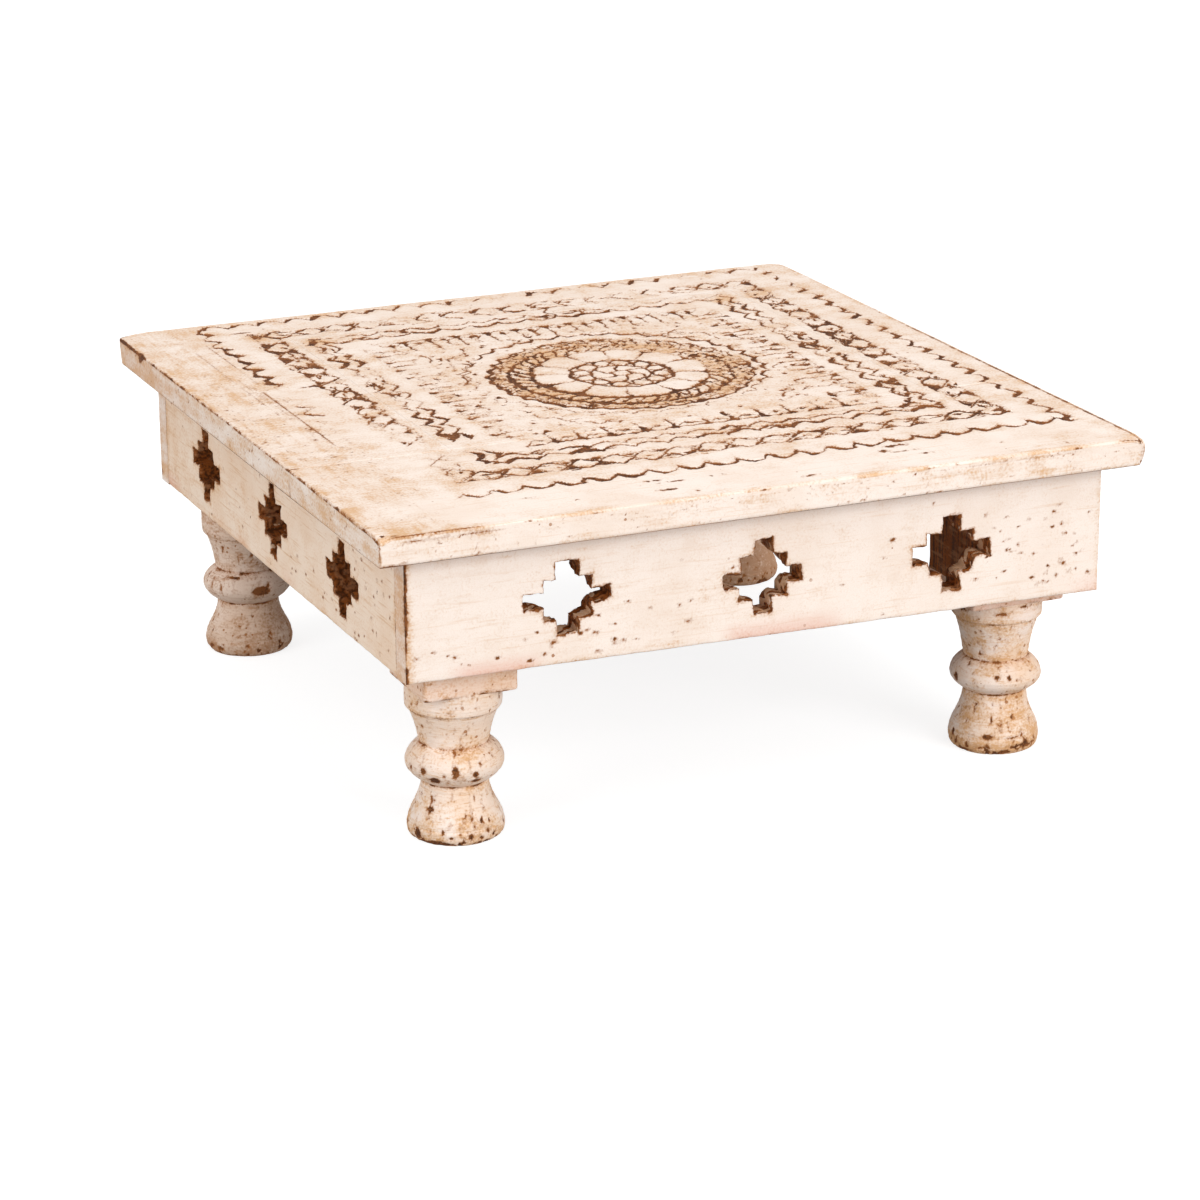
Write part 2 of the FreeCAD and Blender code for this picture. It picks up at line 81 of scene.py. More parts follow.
def noise(x: Array, y: Array, size: float, seed: int, octaves: int = 2) -> Array:
    """Smooth noise between about -1 and 1.

    Random numbers stand on a lattice and are blended by smooth steps; each octave halves the
    lattice and its strength. The lattice is moved so that none of its lines meets an axis.

    Args:
        x, y: coordinates in millimetres.
        size: lattice spacing in millimetres.
        seed: which table of random numbers.
        octaves: how many layers are summed.
    Returns:
        One value for each point.
    """
    total = np.zeros(np.broadcast(x, y).shape)
    strength = 1.0
    for octave in range(octaves):
        table = np.random.default_rng(seed * 31 + octave).uniform(-1, 1, (LATTICE, LATTICE))
        u, v = x / size + 17.3, y / size + 41.7
        column, row = np.floor(u).astype(int), np.floor(v).astype(int)
        across, up = smooth(0, 1, u - column), smooth(0, 1, v - row)
        left, right, low, high = (place & (LATTICE - 1) for place in (column, column + 1, row, row + 1))
        below = table[left, low] * (1 - across) + table[right, low] * across
        above = table[left, high] * (1 - across) + table[right, high] * across
        total += strength * (below * (1 - up) + above * up)
        strength *= 0.5
        size *= 0.5
    return total


def tatters(x: Array, y: Array, size: float, seed: int, octaves: int = 2) -> Array:
    """Noise from 0 to 1 that is zero over about half the points: where a line breaks off."""
    return np.clip(noise(x, y, size, seed, octaves), 0, 1)


def chance(index: Array, seed: int) -> Array:
    """A fixed random number between 0 and 1 for each whole number."""
    table = np.random.default_rng(seed).uniform(0, 1, LOTS)
    return table[np.asarray(index).astype(int) & (LOTS - 1)]


# Reaches and outlines

def union(*reaches: Array) -> Array:
    """The reach of several cuts together: the largest at each point."""
    return reduce(np.maximum, reaches)


def overlap(*reaches: Array) -> Array:
    """The reach of what several shapes share: the smallest at each point."""
    return reduce(np.minimum, reaches)


def between(value: Array, low: Array, high: Array) -> Array:
    """The reach of a strip: the smaller of value - low and high - value."""
    return np.minimum(value - low, high - value)


def signed(reach: Array) -> Array:
    """A reach as a mask, in which 0.5 is the edge: 0.5 + reach / span."""
    return np.clip(0.5 + reach / MASK_SPAN, 0, 1)


def trough(distance: Array, half_width: Array, depth: Array) -> Array:
    """Depth of a rounded groove: depth * (1 - (distance / half_width)^2), none outside."""
    return depth * np.clip(1 - (distance / half_width) ** 2, 0, 1)


def round_off(distance: Array, radius: Array) -> Array:
    """How far a face falls at a distance from an edge rounded by a quarter circle."""
    return radius - np.sqrt(np.clip(radius ** 2 - np.clip(radius - distance, 0, None) ** 2, 0, None))


def path_distance(x: Array, y: Array, path: list[tuple[float, float]]) -> Array:
    """Distance from each point to a line of straight runs, the least over its runs."""
    best = np.full(x.shape, np.inf)
    for (ax, ay), (bx, by) in zip(path, path[1:]):
        run_x, run_y = bx - ax, by - ay
        along = np.clip(((x - ax) * run_x + (y - ay) * run_y) / (run_x ** 2 + run_y ** 2), 0, 1)
        best = np.minimum(best, np.hypot(x - ax - along * run_x, y - ay - along * run_y))
    return best


def grid_lines(breaks: list[float], steps: list[float], edges: tuple[float, ...] = ()) -> Array:
    """Grid lines through every break, each stretch cut evenly into cells no longer than its step.

    Args:
        breaks: places that must have a line, rising.
        steps: the longest cell of each stretch.
        edges: distances from both ends at which extra lines stand, for a rounded edge.
    Returns:
        The places of the lines, rising.
    """
    parts = [
        np.linspace(low, high, max(1, math.ceil((high - low) / step - 1e-6)) + 1)
        for low, high, step in zip(breaks, breaks[1:], steps)
    ]
    extra = [breaks[0] + edge for edge in edges] + [breaks[-1] - edge for edge in edges]
    return np.unique(np.round(np.concatenate(parts + [np.array(extra)]), 4))


# Meshes

@dataclass
class Shell:
    """A closed surface in the making: points in millimetres, faces, and paint masks by point."""

    points: Array
    faces: list[Array]
    masks: dict[str, Array]

    def __add__(self, other: "Shell") -> "Shell":
        """Both shells as one mesh."""
        shift = len(self.points)
        return Shell(
            np.vstack((self.points, other.points)),
            self.faces + [faces + shift for faces in other.faces],
            {name: np.concatenate((mask, other.masks[name])) for name, mask in self.masks.items()},
        )

    def write(self, name: str, material: bpy.types.Material) -> bpy.types.Object:
        """Put the shell into a Blender mesh at the origin, shaded smooth.

        Args:
            name: the object's name.
            material: its one material.
        Returns:
            The new object.
        """
        mesh = bpy.data.meshes.new(name)
        loops = np.concatenate([faces.ravel() for faces in self.faces])
        sizes = np.concatenate([np.full(len(faces), faces.shape[1]) for faces in self.faces])
        starts = np.concatenate(([0], np.cumsum(sizes)[:-1]))
        mesh.vertices.add(len(self.points))
        mesh.vertices.foreach_set("co", (self.points * MM).astype(np.float32).ravel())
        mesh.loops.add(len(loops))
        mesh.loops.foreach_set("vertex_index", loops.astype(np.int32))
        mesh.polygons.add(len(sizes))
        mesh.polygons.foreach_set("loop_start", starts.astype(np.int32))
        mesh.update(calc_edges=True)
        mesh.shade_smooth()
        for mask, values in self.masks.items():
            layer = mesh.attributes.new(mask, "FLOAT", "POINT")
            layer.data.foreach_set("value", np.clip(values, 0, 1).astype(np.float32))
        mesh.materials.append(material)
        piece = bpy.data.objects.new(name, mesh)
        bpy.context.scene.collection.objects.link(piece)
        return piece


def fan(left: Array, right: Array) -> Array:
    """Triangles between two chains of point numbers of which one has two points.

    Each end of the short chain takes half of the long one, and one triangle joins the halves.
    The left chain lies at lower x and both run up, and the triangles face down.
    """
    if len(right) == 2:
        long, (low, high), turned = left, right, True
    else:
        long, (low, high), turned = right, left, False
    half = len(long) // 2
    below = np.stack([np.full(half, low), long[:half], long[1:half + 1]], 1)
    above = np.stack([np.full(len(long) - 1 - half, high), long[half:-1], long[half + 1:]], 1)
    triangles = np.vstack((below, above, [[low, long[half], high]]))
    return triangles if turned else triangles[:, ::-1]


def slab(
    keep: Array, face: Array, wall: Array, masks: dict[str, Array], wall_masks: dict[str, Array],
) -> Shell:
    """A closed board on a grid: its carved face, the walls of its outline and holes, a flat back.

    The face has all grid cells that are kept. Each cell side that borders on nothing carries a
    wall, layer by layer, and the back joins the last layer's points with one strip per column.

    Args:
        keep: which cells are wood, shape (columns, rows).
        face: the face's points, shape (columns + 1, rows + 1, 3).
        wall: the points of each wall layer below the face, shape (layers, columns + 1, rows + 1, 3).
        masks: paint masks of the face, each of shape (columns + 1, rows + 1).
        wall_masks: paint masks of the layers, each of shape (layers, columns + 1, rows + 1).
    Returns:
        The shell, facing outwards.
    """
    columns, rows = keep.shape
    padded = np.zeros((columns + 2, rows + 2), bool)
    padded[1:-1, 1:-1] = keep
    around = padded[:-1, :-1].astype(int) + padded[1:, :-1] + padded[:-1, 1:] + padded[1:, 1:]
    used, rim = around > 0, (around > 0) & (around < 4)

    top = np.full(used.shape, -1)
    top[used] = np.arange(used.sum())
    count = int(used.sum())
    layers = len(wall)
    ids = np.full((layers + 1, *used.shape), -1)
    ids[0] = top
    for layer in range(layers):
        ids[layer + 1][rim] = count + np.arange(rim.sum())
        count += int(rim.sum())
    points = np.vstack([face[used]] + [wall[layer][rim] for layer in range(layers)])
    values = {
        name: np.concatenate([mask[used]] + [wall_masks[name][layer][rim] for layer in range(layers)])
        for name, mask in masks.items()
    }

    i, j = np.nonzero(keep)
    faces = [np.stack([top[i, j], top[i + 1, j], top[i + 1, j + 1], top[i, j + 1]], 1)]
    borders = (
        (keep & ~padded[1:-1, :-2], (0, 0), (1, 0)),
        (keep & ~padded[2:, 1:-1], (1, 0), (1, 1)),
        (keep & ~padded[1:-1, 2:], (1, 1), (0, 1)),
        (keep & ~padded[:-2, 1:-1], (0, 1), (0, 0)),
    )
    for edge, (ai, aj), (bi, bj) in borders:
        i, j = np.nonzero(edge)
        for layer in range(layers):
            high, low = ids[layer], ids[layer + 1]
            faces.append(np.stack(
                [high[i + bi, j + bj], high[i + ai, j + aj], low[i + ai, j + aj], low[i + bi, j + bj]], 1,
            ))

    back = ids[-1]
    quads, fans = [], []
    for column in range(columns):
        steps = np.flatnonzero(np.diff(np.concatenate(([0], keep[column].astype(int), [0]))))
        for low, high in zip(steps[::2], steps[1::2]):
            left = back[column, low:high + 1]
            right = back[column + 1, low:high + 1]
            left, right = left[left >= 0], right[right >= 0]
            if len(left) == len(right) == 2:
                quads.append((left[0], left[1], right[1], right[0]))
            else:
                fans.append(fan(left, right))
    faces.append(np.array(quads))
    return Shell(points, faces + fans, values)


def lathed(rows: Array, masks: dict[str, Array], bare_ends: tuple[float, float]) -> Shell:
    """A closed skin over loops of points that rise up an axis, with a point in each end.

    Args:
        rows: the loops, of shape (rows, points, 3), each turning anticlockwise seen from above.
        masks: paint masks of the loops' points.
        bare_ends: the bare mask of the lower and the upper end.
    Returns:
        The shell, facing outwards.
    """
    count, n = rows.shape[:2]
    k, j = np.meshgrid(np.arange(count - 1), np.arange(n), indexing="ij")
    nxt = (j + 1) % n
    quads = np.stack([k * n + j, k * n + nxt, (k + 1) * n + nxt, (k + 1) * n + j], -1).reshape(-1, 4)
    rim = np.arange(n)
    bottom = np.stack([np.full(n, count * n), (rim + 1) % n, rim], 1)
    last = (count - 1) * n
    lid = np.stack([np.full(n, count * n + 1), last + rim, last + (rim + 1) % n], 1)
    poles = np.stack([rows[0].mean(0), rows[-1].mean(0)])
    ends = {name: np.zeros(2) for name in masks} | {"bare": np.array(bare_ends)}
    values = {name: np.concatenate((mask.ravel(), ends[name])) for name, mask in masks.items()}
    return Shell(np.vstack((rows.reshape(-1, 3), poles)), [quads, bottom, lid], values)


# Shader graphs

def linear(red: int, green: int, blue: int) -> tuple[float, float, float, float]:
    """A picture colour of 0 to 255 as the linear colour that a shader takes."""
    return tuple(
        value / 12.92 if value <= 0.04045 else ((value + 0.055) / 1.055) ** 2.4
        for value in (red / 255, green / 255, blue / 255)
    ) + (1.0,)


class Value:
    """A shader number. An expression on values adds its Math nodes to their graph."""

    def __init__(self, graph: "Graph", socket: bpy.types.NodeSocket) -> None:
        """Wrap one output socket."""
        self.graph = graph
        self.socket = socket

    def _math(self, operation: str, first: "Value | float", second: "Value | float") -> "Value":
        """Add one Math node."""
        return self.graph.node("ShaderNodeMath", {"operation": operation}, {0: first, 1: second})

    def __add__(self, other: "Value | float") -> "Value":
        """self + other."""
        return self._math("ADD", self, other)

    __radd__ = __add__

    def __sub__(self, other: "Value | float") -> "Value":
        """self - other."""
        return self._math("SUBTRACT", self, other)

    def __rsub__(self, other: float) -> "Value":
        """other - self."""
        return self._math("SUBTRACT", other, self)

    def __mul__(self, other: "Value | float") -> "Value":
        """self * other."""
        return self._math("MULTIPLY", self, other)

    __rmul__ = __mul__

    def above(self, low: float, high: float) -> "Value":
        """Rise smoothly from 0 where this is low to 1 where it is high."""
        settings = {"interpolation_type": "SMOOTHSTEP"}
        sockets = {"Value": self, "From Min": low, "From Max": high}
        return self.graph.node("ShaderNodeMapRange", settings, sockets)

    def most(self, other: "Value | float") -> "Value":
        """The larger of two values."""
        return self._math("MAXIMUM", self, other)


class Graph:
    """The nodes of one material or of the world."""

    def __init__(self, tree: bpy.types.NodeTree) -> None:
        """Start from an empty tree."""
        self.tree = tree
        tree.nodes.clear()

    def node(
        self, kind: str, settings: dict | None = None, sockets: dict | None = None, output: str | int = 0,
    ) -> Value:
        """Add a node.

        Args:
            kind: its Blender type.
            settings: its own properties, set before its sockets.
            sockets: constants or values for its inputs, by name or number.
            output: the output that is wanted.
        Returns:
            That output, wrapped.
        """
        made = self.tree.nodes.new(kind)
        for name, setting in (settings or {}).items():
            setattr(made, name, setting)
        for name, given in (sockets or {}).items():
            if isinstance(given, Value):
                self.tree.links.new(given.socket, made.inputs[name])
            else:
                made.inputs[name].default_value = given
        return Value(self, made.outputs[output] if made.outputs else None)

    def mask(self, name: str) -> Value:
        """A paint mask stored on the mesh."""
        return self.node("ShaderNodeAttribute", {"attribute_name": name}, output="Fac")

    def reach(self, name: str) -> Value:
        """The reach in millimetres that a mask stores."""
        return MASK_SPAN * (self.mask(name) - 0.5)

    def mix(self, factor: Value | float, first: Value | tuple, second: Value | tuple) -> Value:
        """Blend two colours."""
        return self.node("ShaderNodeMix", {"data_type": "RGBA"}, {0: factor, 6: first, 7: second}, output=2)

    def speckle(self, coords: Value, size: float, detail: float = 3, stretch: tuple = (1, 1, 1)) -> Value:
        """Noise between 0 and 1 whose blotches are about size millimetres, times stretch by axis."""
        scale = tuple(1 / (size * MM * part) for part in stretch)
        scaled = self.node("ShaderNodeMapping", sockets={"Vector": coords, "Scale": scale})
        return self.node("ShaderNodeTexNoise", sockets={"Vector": scaled, "Scale": 1.0, "Detail": detail})

    def chips(self, coords: Value, size: float, share: float, radius: float, bend: Value) -> Value:
        """Ragged flakes, 1 inside: one in each cell of size millimetres, in the given share of them.

        Args:
            coords: where the pattern lives.
            size: cell size in millimetres.
            share: how many of the cells hold a flake.
            radius: the largest flake, in cells.
            bend: noise around 0.5 that makes the outlines ragged.
        Returns:
            The mask.
        """
        scaled = self.node("ShaderNodeMapping", sockets={"Vector": coords, "Scale": (1 / (size * MM),) * 3})
        cells = {"Vector": scaled, "Scale": 1.0}
        far = self.node("ShaderNodeTexVoronoi", sockets=cells, output="Distance")
        tint = self.node("ShaderNodeTexVoronoi", sockets=cells, output="Color")
        lot = self.node("ShaderNodeSeparateColor", sockets={"Color": tint}, output="Red")
        empty, ragged, blur = 1 - share, 0.12, 0.03
        flake = radius * lot.above(empty, 1.0) + (bend - 0.5) * ragged * lot.above(empty, empty + 0.02)
        return (flake - far).above(0.0, blur)


def new_material(name: str) -> tuple[bpy.types.Material, Graph]:
    """An empty material, and the graph that fills it."""
    material = bpy.data.materials.new(name)
    material.use_nodes = True
    return material, Graph(material.node_tree)


# Finishes

class Grain(Enum):
    """Which way a board's grain runs, as the stretch of its streaks along X, Y and Z."""

    ALONG_X = (22.0, 1.0, 1.0)
    ALONG_Y = (1.0, 22.0, 1.0)
    ALONG_Z = (1.0, 1.0, 20.0)
    ROUND_Z = (5.0, 5.0, 0.7)


@dataclass(frozen=True)
class Mottling:
    """The noises of one paint, each a value between 0 and 1, from the finest to the widest."""

    dust: Value
    streaks: Value
    fine: Value
    rings: Value
    fibres: Value
    cloud: Value
    blotch: Value


@dataclass(frozen=True)
class DistressedPaint:
    """Chalky ivory paint, waxed and rubbed back, over dark brown wood.

    The mesh carries four masks. ink and bare store a reach, so that an edge is sharp between the
    mesh's points: ink is dark wax in cuts and lost paint, bare is unpainted wood. grime_and_shade is
    a thin ochre wash of dirt, in places painted shade, and blush the pink ground that shows in thin paint.
    """

    name: str
    grain: Grain
    timber: Grain
    ivory: tuple = linear(252, 238, 227)
    cream: tuple = linear(236, 212, 192)
    wash: tuple = linear(222, 178, 134)
    rust: tuple = linear(168, 108, 58)
    blush: tuple = linear(232, 178, 158)
    umber: tuple = linear(76, 42, 19)
    bark: tuple = linear(134, 80, 40)
    heart: tuple = linear(90, 48, 16)
    plank: tuple = linear(162, 90, 34)
    wood: tuple = linear(202, 148, 106)
    specks: float = 0.06
    mottle: float = 0.5
    grit: float = 0.25
    streak: float = 0.4

    def mottling(self, graph: Graph, coords: Value) -> Mottling:
        """The paint's noises, with their sizes in millimetres.

        Args:
            graph, coords: the material's nodes and its Object coordinates.
        Returns:
            The noises that the finish is mixed from.
        """
        return Mottling(
            dust=graph.speckle(coords, 0.45, 2),
            streaks=graph.speckle(coords, 0.8, 4, self.grain.value),
            fine=graph.speckle(coords, 1.0, 5),
            rings=graph.speckle(coords, 1.6, 4, self.timber.value),
            fibres=graph.speckle(coords, 3.2, 5, self.grain.value),
            cloud=graph.speckle(coords, 8, 5),
            blotch=graph.speckle(coords, 30, 5),
        )

    def paint(self, graph: Graph, noises: Mottling, ink: Value) -> Value:
        """The paint that is left: ivory, mottled with cream, rubbed with wash and grime, rusty at cuts.

        Args:
            graph, noises: the material's nodes and its noises.
            ink: reach of the cuts and chips.
        Returns:
            The paint's colour.
        """
        fine, cloud, streaks = noises.fine, noises.cloud, noises.streaks
        paint = graph.mix(noises.blotch.above(0.42, 0.66) * self.mottle, self.ivory, self.cream)
        mottled = (cloud + (fine - 0.5) * 0.6).above(0.52, 0.72) * (0.8 * self.mottle)
        paint = graph.mix(mottled, paint, self.cream)
        paint = graph.mix(noises.dust.above(0.42, 0.72) * 0.3, paint, self.cream)
        paint = graph.mix(fine.above(0.52, 0.74) * cloud.above(0.30, 0.62) * self.grit, paint, self.wash)
        rub = streaks.above(0.54, 0.68) * noises.fibres.above(0.42, 0.66) * self.streak
        paint = graph.mix(rub, paint, self.wash)

        grime_and_shade = graph.mask("grime_and_shade")
        rough = ((cloud - 0.5) * 1.3 + (fine - 0.5) * 1.5 + (streaks - 0.5) * 0.8) * grime_and_shade.above(0.02, 0.35)
        paint = graph.mix((grime_and_shade + 0.5 * rough).above(0.05, 0.55) * 0.75, paint, self.cream)
        paint = graph.mix((grime_and_shade + rough).above(0.3, 1.05) * 0.9, paint, self.wash)
        paint = graph.mix(graph.mask("blush") * (0.35 + 0.65 * fine), paint, self.blush)
        stained = (ink + (cloud - 0.5) * 1.2 + (fine - 0.5) * 1.6).above(-0.75, 0.25)
        return graph.mix(stained * 0.5, paint, self.rust)

    def lost(self, graph: Graph, noises: Mottling, ink: Value, coords: Value) -> Value:
        """Where the paint is cut, chipped or worn through, 1 inside."""
        edges = (ink + (noises.fine - 0.5) * 1.3).above(-0.06, 0.2)
        dots = graph.chips(coords, 2.6, self.specks, 0.30, noises.fine) * noises.blotch.above(0.38, 0.58)
        return edges.most(dots * 0.85)

    def under_paint(self, graph: Graph, noises: Mottling, ink: Value) -> Value:
        """The dark wax and wood in cuts and chips, rusty along their edges."""
        dark = graph.mix((noises.cloud + (noises.fine - 0.5)).above(0.35, 0.68), self.umber, self.bark)
        return graph.mix((ink + (noises.fine - 0.5) * 0.8).above(-0.1, 0.5), self.rust, dark)

    def planks(self, graph: Graph, noises: Mottling) -> Value:
        """Unpainted wood with its rings and paler fibres."""
        ringed = (noises.rings + (noises.fine - 0.5) * 0.5).above(0.34, 0.64)
        timber = graph.mix(ringed, self.heart, self.plank)
        pale = (noises.fibres + (noises.cloud - 0.5) * 0.8).above(0.50, 0.70) * 0.55
        return graph.mix(pale, timber, self.wood)

    def make(self) -> bpy.types.Material:
        """Build the material.

        Returns:
            A material that reads Object coordinates and the four masks.
        """
        material, graph = new_material(self.name)
        coords = graph.node("ShaderNodeTexCoord", output="Object")
        noises = self.mottling(graph, coords)
        ink = graph.reach("ink")
        lost = self.lost(graph, noises, ink, coords)
        colour = graph.mix(lost, self.paint(graph, noises, ink), self.under_paint(graph, noises, ink))
        bare = (graph.reach("bare") + (noises.fine - 0.5) * 0.9).above(-0.06, 0.2)
        colour = graph.mix(bare, colour, self.planks(graph, noises))

        relief = (1 - lost) * 0.5 + noises.streaks * 0.3 + noises.fine * 0.35
        bump = graph.node("ShaderNodeBump", sockets={"Strength": 0.6, "Distance": 0.00035, "Height": relief})
        surface = graph.node("ShaderNodeBsdfPrincipled", sockets={
            "Base Color": colour, "Roughness": 0.72 + 0.16 * noises.fine, "Normal": bump,
            "Specular IOR Level": 0.25,
        })
        graph.node("ShaderNodeOutputMaterial", sockets={"Surface": surface})
        return material


@dataclass(frozen=True)
class NailIron:
    """Dull dark iron with a little rust."""

    name: str = "nail_iron"
    iron: tuple = linear(82, 78, 74)
    rust: tuple = linear(112, 66, 40)

    def make(self) -> bpy.types.Material:
        """Build the material.

        Returns:
            A material that reads Object coordinates.
        """
        material, graph = new_material(self.name)
        coords = graph.node("ShaderNodeTexCoord", output="Object")
        rusty = graph.speckle(coords, 1.5, 4).above(0.45, 0.6)
        surface = graph.node("ShaderNodeBsdfPrincipled", sockets={
            "Base Color": graph.mix(rusty, self.iron, self.rust),
            "Roughness": 0.45 + 0.4 * rusty, "Metallic": 1 - rusty,
        })
        graph.node("ShaderNodeOutputMaterial", sockets={"Surface": surface})
        return material


# The carving

# Places of the comb's ticks, up the left and right sides and along the front and back
LEFT_TEETH = (-52, -41, -26, -13, 1.5, 17, 31, 43, 56, 70, 82)
RIGHT_TEETH = (-52, -41, -27, -13, 1, 14.5, 29, 44, 57, 70.5, 82.5)
CROSS_TEETH = (-53, -41, -28, -13, 0.5, 14.5, 27, 40.5, 53.5, 66.5, 78.5)


class Side(IntEnum):
    """The sides of the carved frames, in the order of their bands."""

    LEFT = 0
    RIGHT = 1
    FRONT = 2
    BACK = 3


@dataclass(frozen=True)
class Band:
    """How one side of the carved frames was cut.

    wave, chain, outer, inner, comb and base scale the half widths of its lines, fill is how far
    the corners between the chain's lozenges stay uncut, broken how often a line is lost, and
    teeth are the places of the comb's ticks along the side.
    """

    wave: float
    chain: float
    fill: float
    outer: float
    inner: float
    comb: float
    base: float
    broken: float
    teeth: tuple


@dataclass(frozen=True)
class Frames:
    """The square frames: from outside in a wave, a chain of lozenges, two zigzags and a comb.

    They are written in t, the distance in from the nearest side of the outer frame, and s, the
    place along that side. A line's reach is its half width less the distance across it. Each of
    the zigzags is its middle in t, its swing, the band's field for its width and its shift in
    pitches. mark_strips are the strips in t that hold the small tool marks, each fading in and
    out. The comb's sides hold their base line's place and their ticks' height, comb_across and
    comb_along tell how far it reaches along X and Y, and half_tooth_gap is half the usual
    distance between two ticks.
    """

    left: float = -127.5
    right: float = 151.0
    front: float = -126.0
    back: float = 158.0
    wave_line: float = 3.0
    wave_pitch: float = 13.1
    wave_swing: float = 6.0
    chain_middle: float = 21.8
    chain_pitch: float = 14.1
    chain_swing: float = 6.0
    zigzag_pitch: float = 14.0
    zigzags: tuple = ((37.8, 3.2, "outer", 0.0), (44.4, 2.8, "inner", 0.12))
    mark_strips: tuple = ((12, 15, 28, 31), (33, 35, 47, 50))
    comb_left: tuple = (-72.0, 14.0)
    comb_right: tuple = (96.5, 14.0)
    comb_front: tuple = (-72.0, 13.0)
    comb_back: tuple = (101.0, 17.0)
    comb_across: tuple = (-76.0, 101.0)
    comb_along: tuple = (-76.0, 105.0)
    half_tooth_gap: float = 6.6
    bands: tuple = (
        Band(1.4, 1.15, 0.1, 1.3, 1.1, 1.0, 0.25, 0.55, LEFT_TEETH),
        Band(1.25, 1.2, 0.25, 1.25, 1.15, 1.1, 0.15, 0.35, RIGHT_TEETH),
        Band(1.35, 1.35, 0.8, 1.35, 0.95, 1.45, 0.8, 0.2, CROSS_TEETH),
        Band(1.3, 1.35, 1.3, 0.8, 1.5, 1.3, 0.45, 0.5, CROSS_TEETH),
    )

    def reach(self, x: Array, y: Array) -> Array:
        """Reach of all the frames' cuts.

        Args:
            x, y: places on the top.
        Returns:
            Each point's reach.
        """
        away = np.stack([x - self.left, self.right - x, y - self.front, self.back - y])
        side, t = away.argmin(0), away.min(0)
        s = np.where(side < Side.FRONT, y, x)
        gaps = self.of_side("broken", side) * np.clip(noise(x, y, 4.5, 81) - 0.05, 0, 1)
        return union(
            self.wave(t, s, side, gaps), self.chain(t, s, side, gaps), self.zigzag(t, s, side, gaps),
            self.tool_marks(t, s), self.comb(x, y),
        )

    def of_side(self, name: str, side: Array) -> Array:
        """One field of the bands, for each point's side."""
        return np.array([getattr(band, name) for band in self.bands])[side]

    @staticmethod
    def unit(turn: Array, side: Array) -> Array:
        """A number for each pitch of each side, to draw a chance by."""
        return np.floor(turn) + side * 37

    def wave(self, t: Array, s: Array, side: Array, gaps: Array) -> Array:
        """Reach of the outer wave: cusps inward, thicker on one flank, filled up on two sides.

        The line is t = middle - swing * |sin(pi * phase)|^0.9.

        Args:
            t, s, side: each point's distance in, its place along its side, and the side.
            gaps: where lines break off, in millimetres of half width.
        Returns:
            Each point's reach.
        """
        turn = (s - 3) / self.wave_pitch
        unit, phase = self.unit(turn, side), turn - np.floor(turn)
        swing = self.wave_swing * (0.8 + 0.35 * chance(unit, 5)) * np.where(side == Side.RIGHT, 0.75, 1.0)
        line = self.wave_line - swing * np.abs(np.sin(np.pi * phase)) ** 0.9
        slope = -swing * np.pi / self.wave_pitch * np.cos(np.pi * phase)
        flank = 0.65 + 0.85 * bell(phase, 0.25, 0.2)
        width = flank * self.of_side("wave", side) * (0.65 + 0.5 * chance(unit, 6))
        wedge = np.minimum(line - t, t + 0.6 + 1.2 * chance(unit, 7)) * 0.8 - 0.25
        filled = np.where(side == Side.LEFT, smooth(52, 58, s), 0)
        filled = np.where(side == Side.RIGHT, 0.45 * smooth(40, 80, s), filled)
        return union(width - np.abs(t - line) / np.sqrt(1 + slope ** 2) - gaps, wedge - 3 * (1 - filled))

    def chain(self, t: Array, s: Array, side: Array, gaps: Array) -> Array:
        """Reach of the chain: two lines back to back, with the corners between them cut out.

        The lines are |t - middle| = swing * (0.55 * |sin| + 0.45 * a triangle wave).

        Args:
            t, s, side, gaps: as for the wave.
        Returns:
            Each point's reach.
        """
        turn = (s - 8.5) / self.chain_pitch
        phase, flank = turn - np.floor(turn), np.sign(t - self.chain_middle)
        swell = 0.55 * np.abs(np.sin(np.pi * turn)) + 0.45 * (1 - np.abs(2 * phase - 1))
        swell = self.chain_swing * swell
        steep = self.chain_swing * np.pi / self.chain_pitch * np.cos(np.pi * turn)
        off = np.abs(t - self.chain_middle)
        slanted = 1.4 * (side == Side.BACK) * smooth(-48, -36, s) * smooth(106, 96, s) * (phase > 0.55)
        width = (0.4 + 0.5 * chance(self.unit(turn, side) + 3 * flank, 8)) * self.of_side("chain", side)
        line = width - np.abs(off - swell) / np.sqrt(1 + steep ** 2) - 2.2 * gaps - slanted
        uncut = self.of_side("fill", side) + 0.9 * (side == Side.LEFT) * smooth(66, 50, s)
        uncut = uncut + 1.3 * chance(self.unit(turn + 0.5, side) + 11 * flank, 9)
        return union(line, between(off, swell, self.chain_swing + 0.7) * 0.8 - slanted - uncut)

    def zigzag(self, t: Array, s: Array, side: Array, gaps: Array) -> Array:
        """Reach of the two zigzags, triangle waves with their outer points drawn round.

        Args:
            t, s, side, gaps: as for the wave.
        Returns:
            Each point's reach.
        """
        reach = np.full(t.shape, NOWHERE)
        for middle, swing, name, shift in self.zigzags:
            turn = (s - 1) / self.zigzag_pitch + shift
            tooth = 1 - 2 * np.abs(turn - np.floor(turn) - 0.5)
            line = middle + swing * (2 * np.sqrt(tooth + 0.02) - 1.25)
            thick = self.of_side(name, side) * (0.5 + 0.75 * chance(self.unit(turn, side), 11))
            reach = np.maximum(reach, thick - np.abs(t - line) * 0.8 - 1.5 * gaps)
        return reach

    def tool_marks(self, t: Array, s: Array) -> Array:
        """Reach of the short marks scattered through the chain and the zigzags."""
        banded = sum(smooth(a, b, t) * smooth(d, c, t) for a, b, c, d in self.mark_strips)
        return 2.4 * (noise(s * 0.4, t, 2.0, 83) - 0.66) - 3 * (1 - banded)

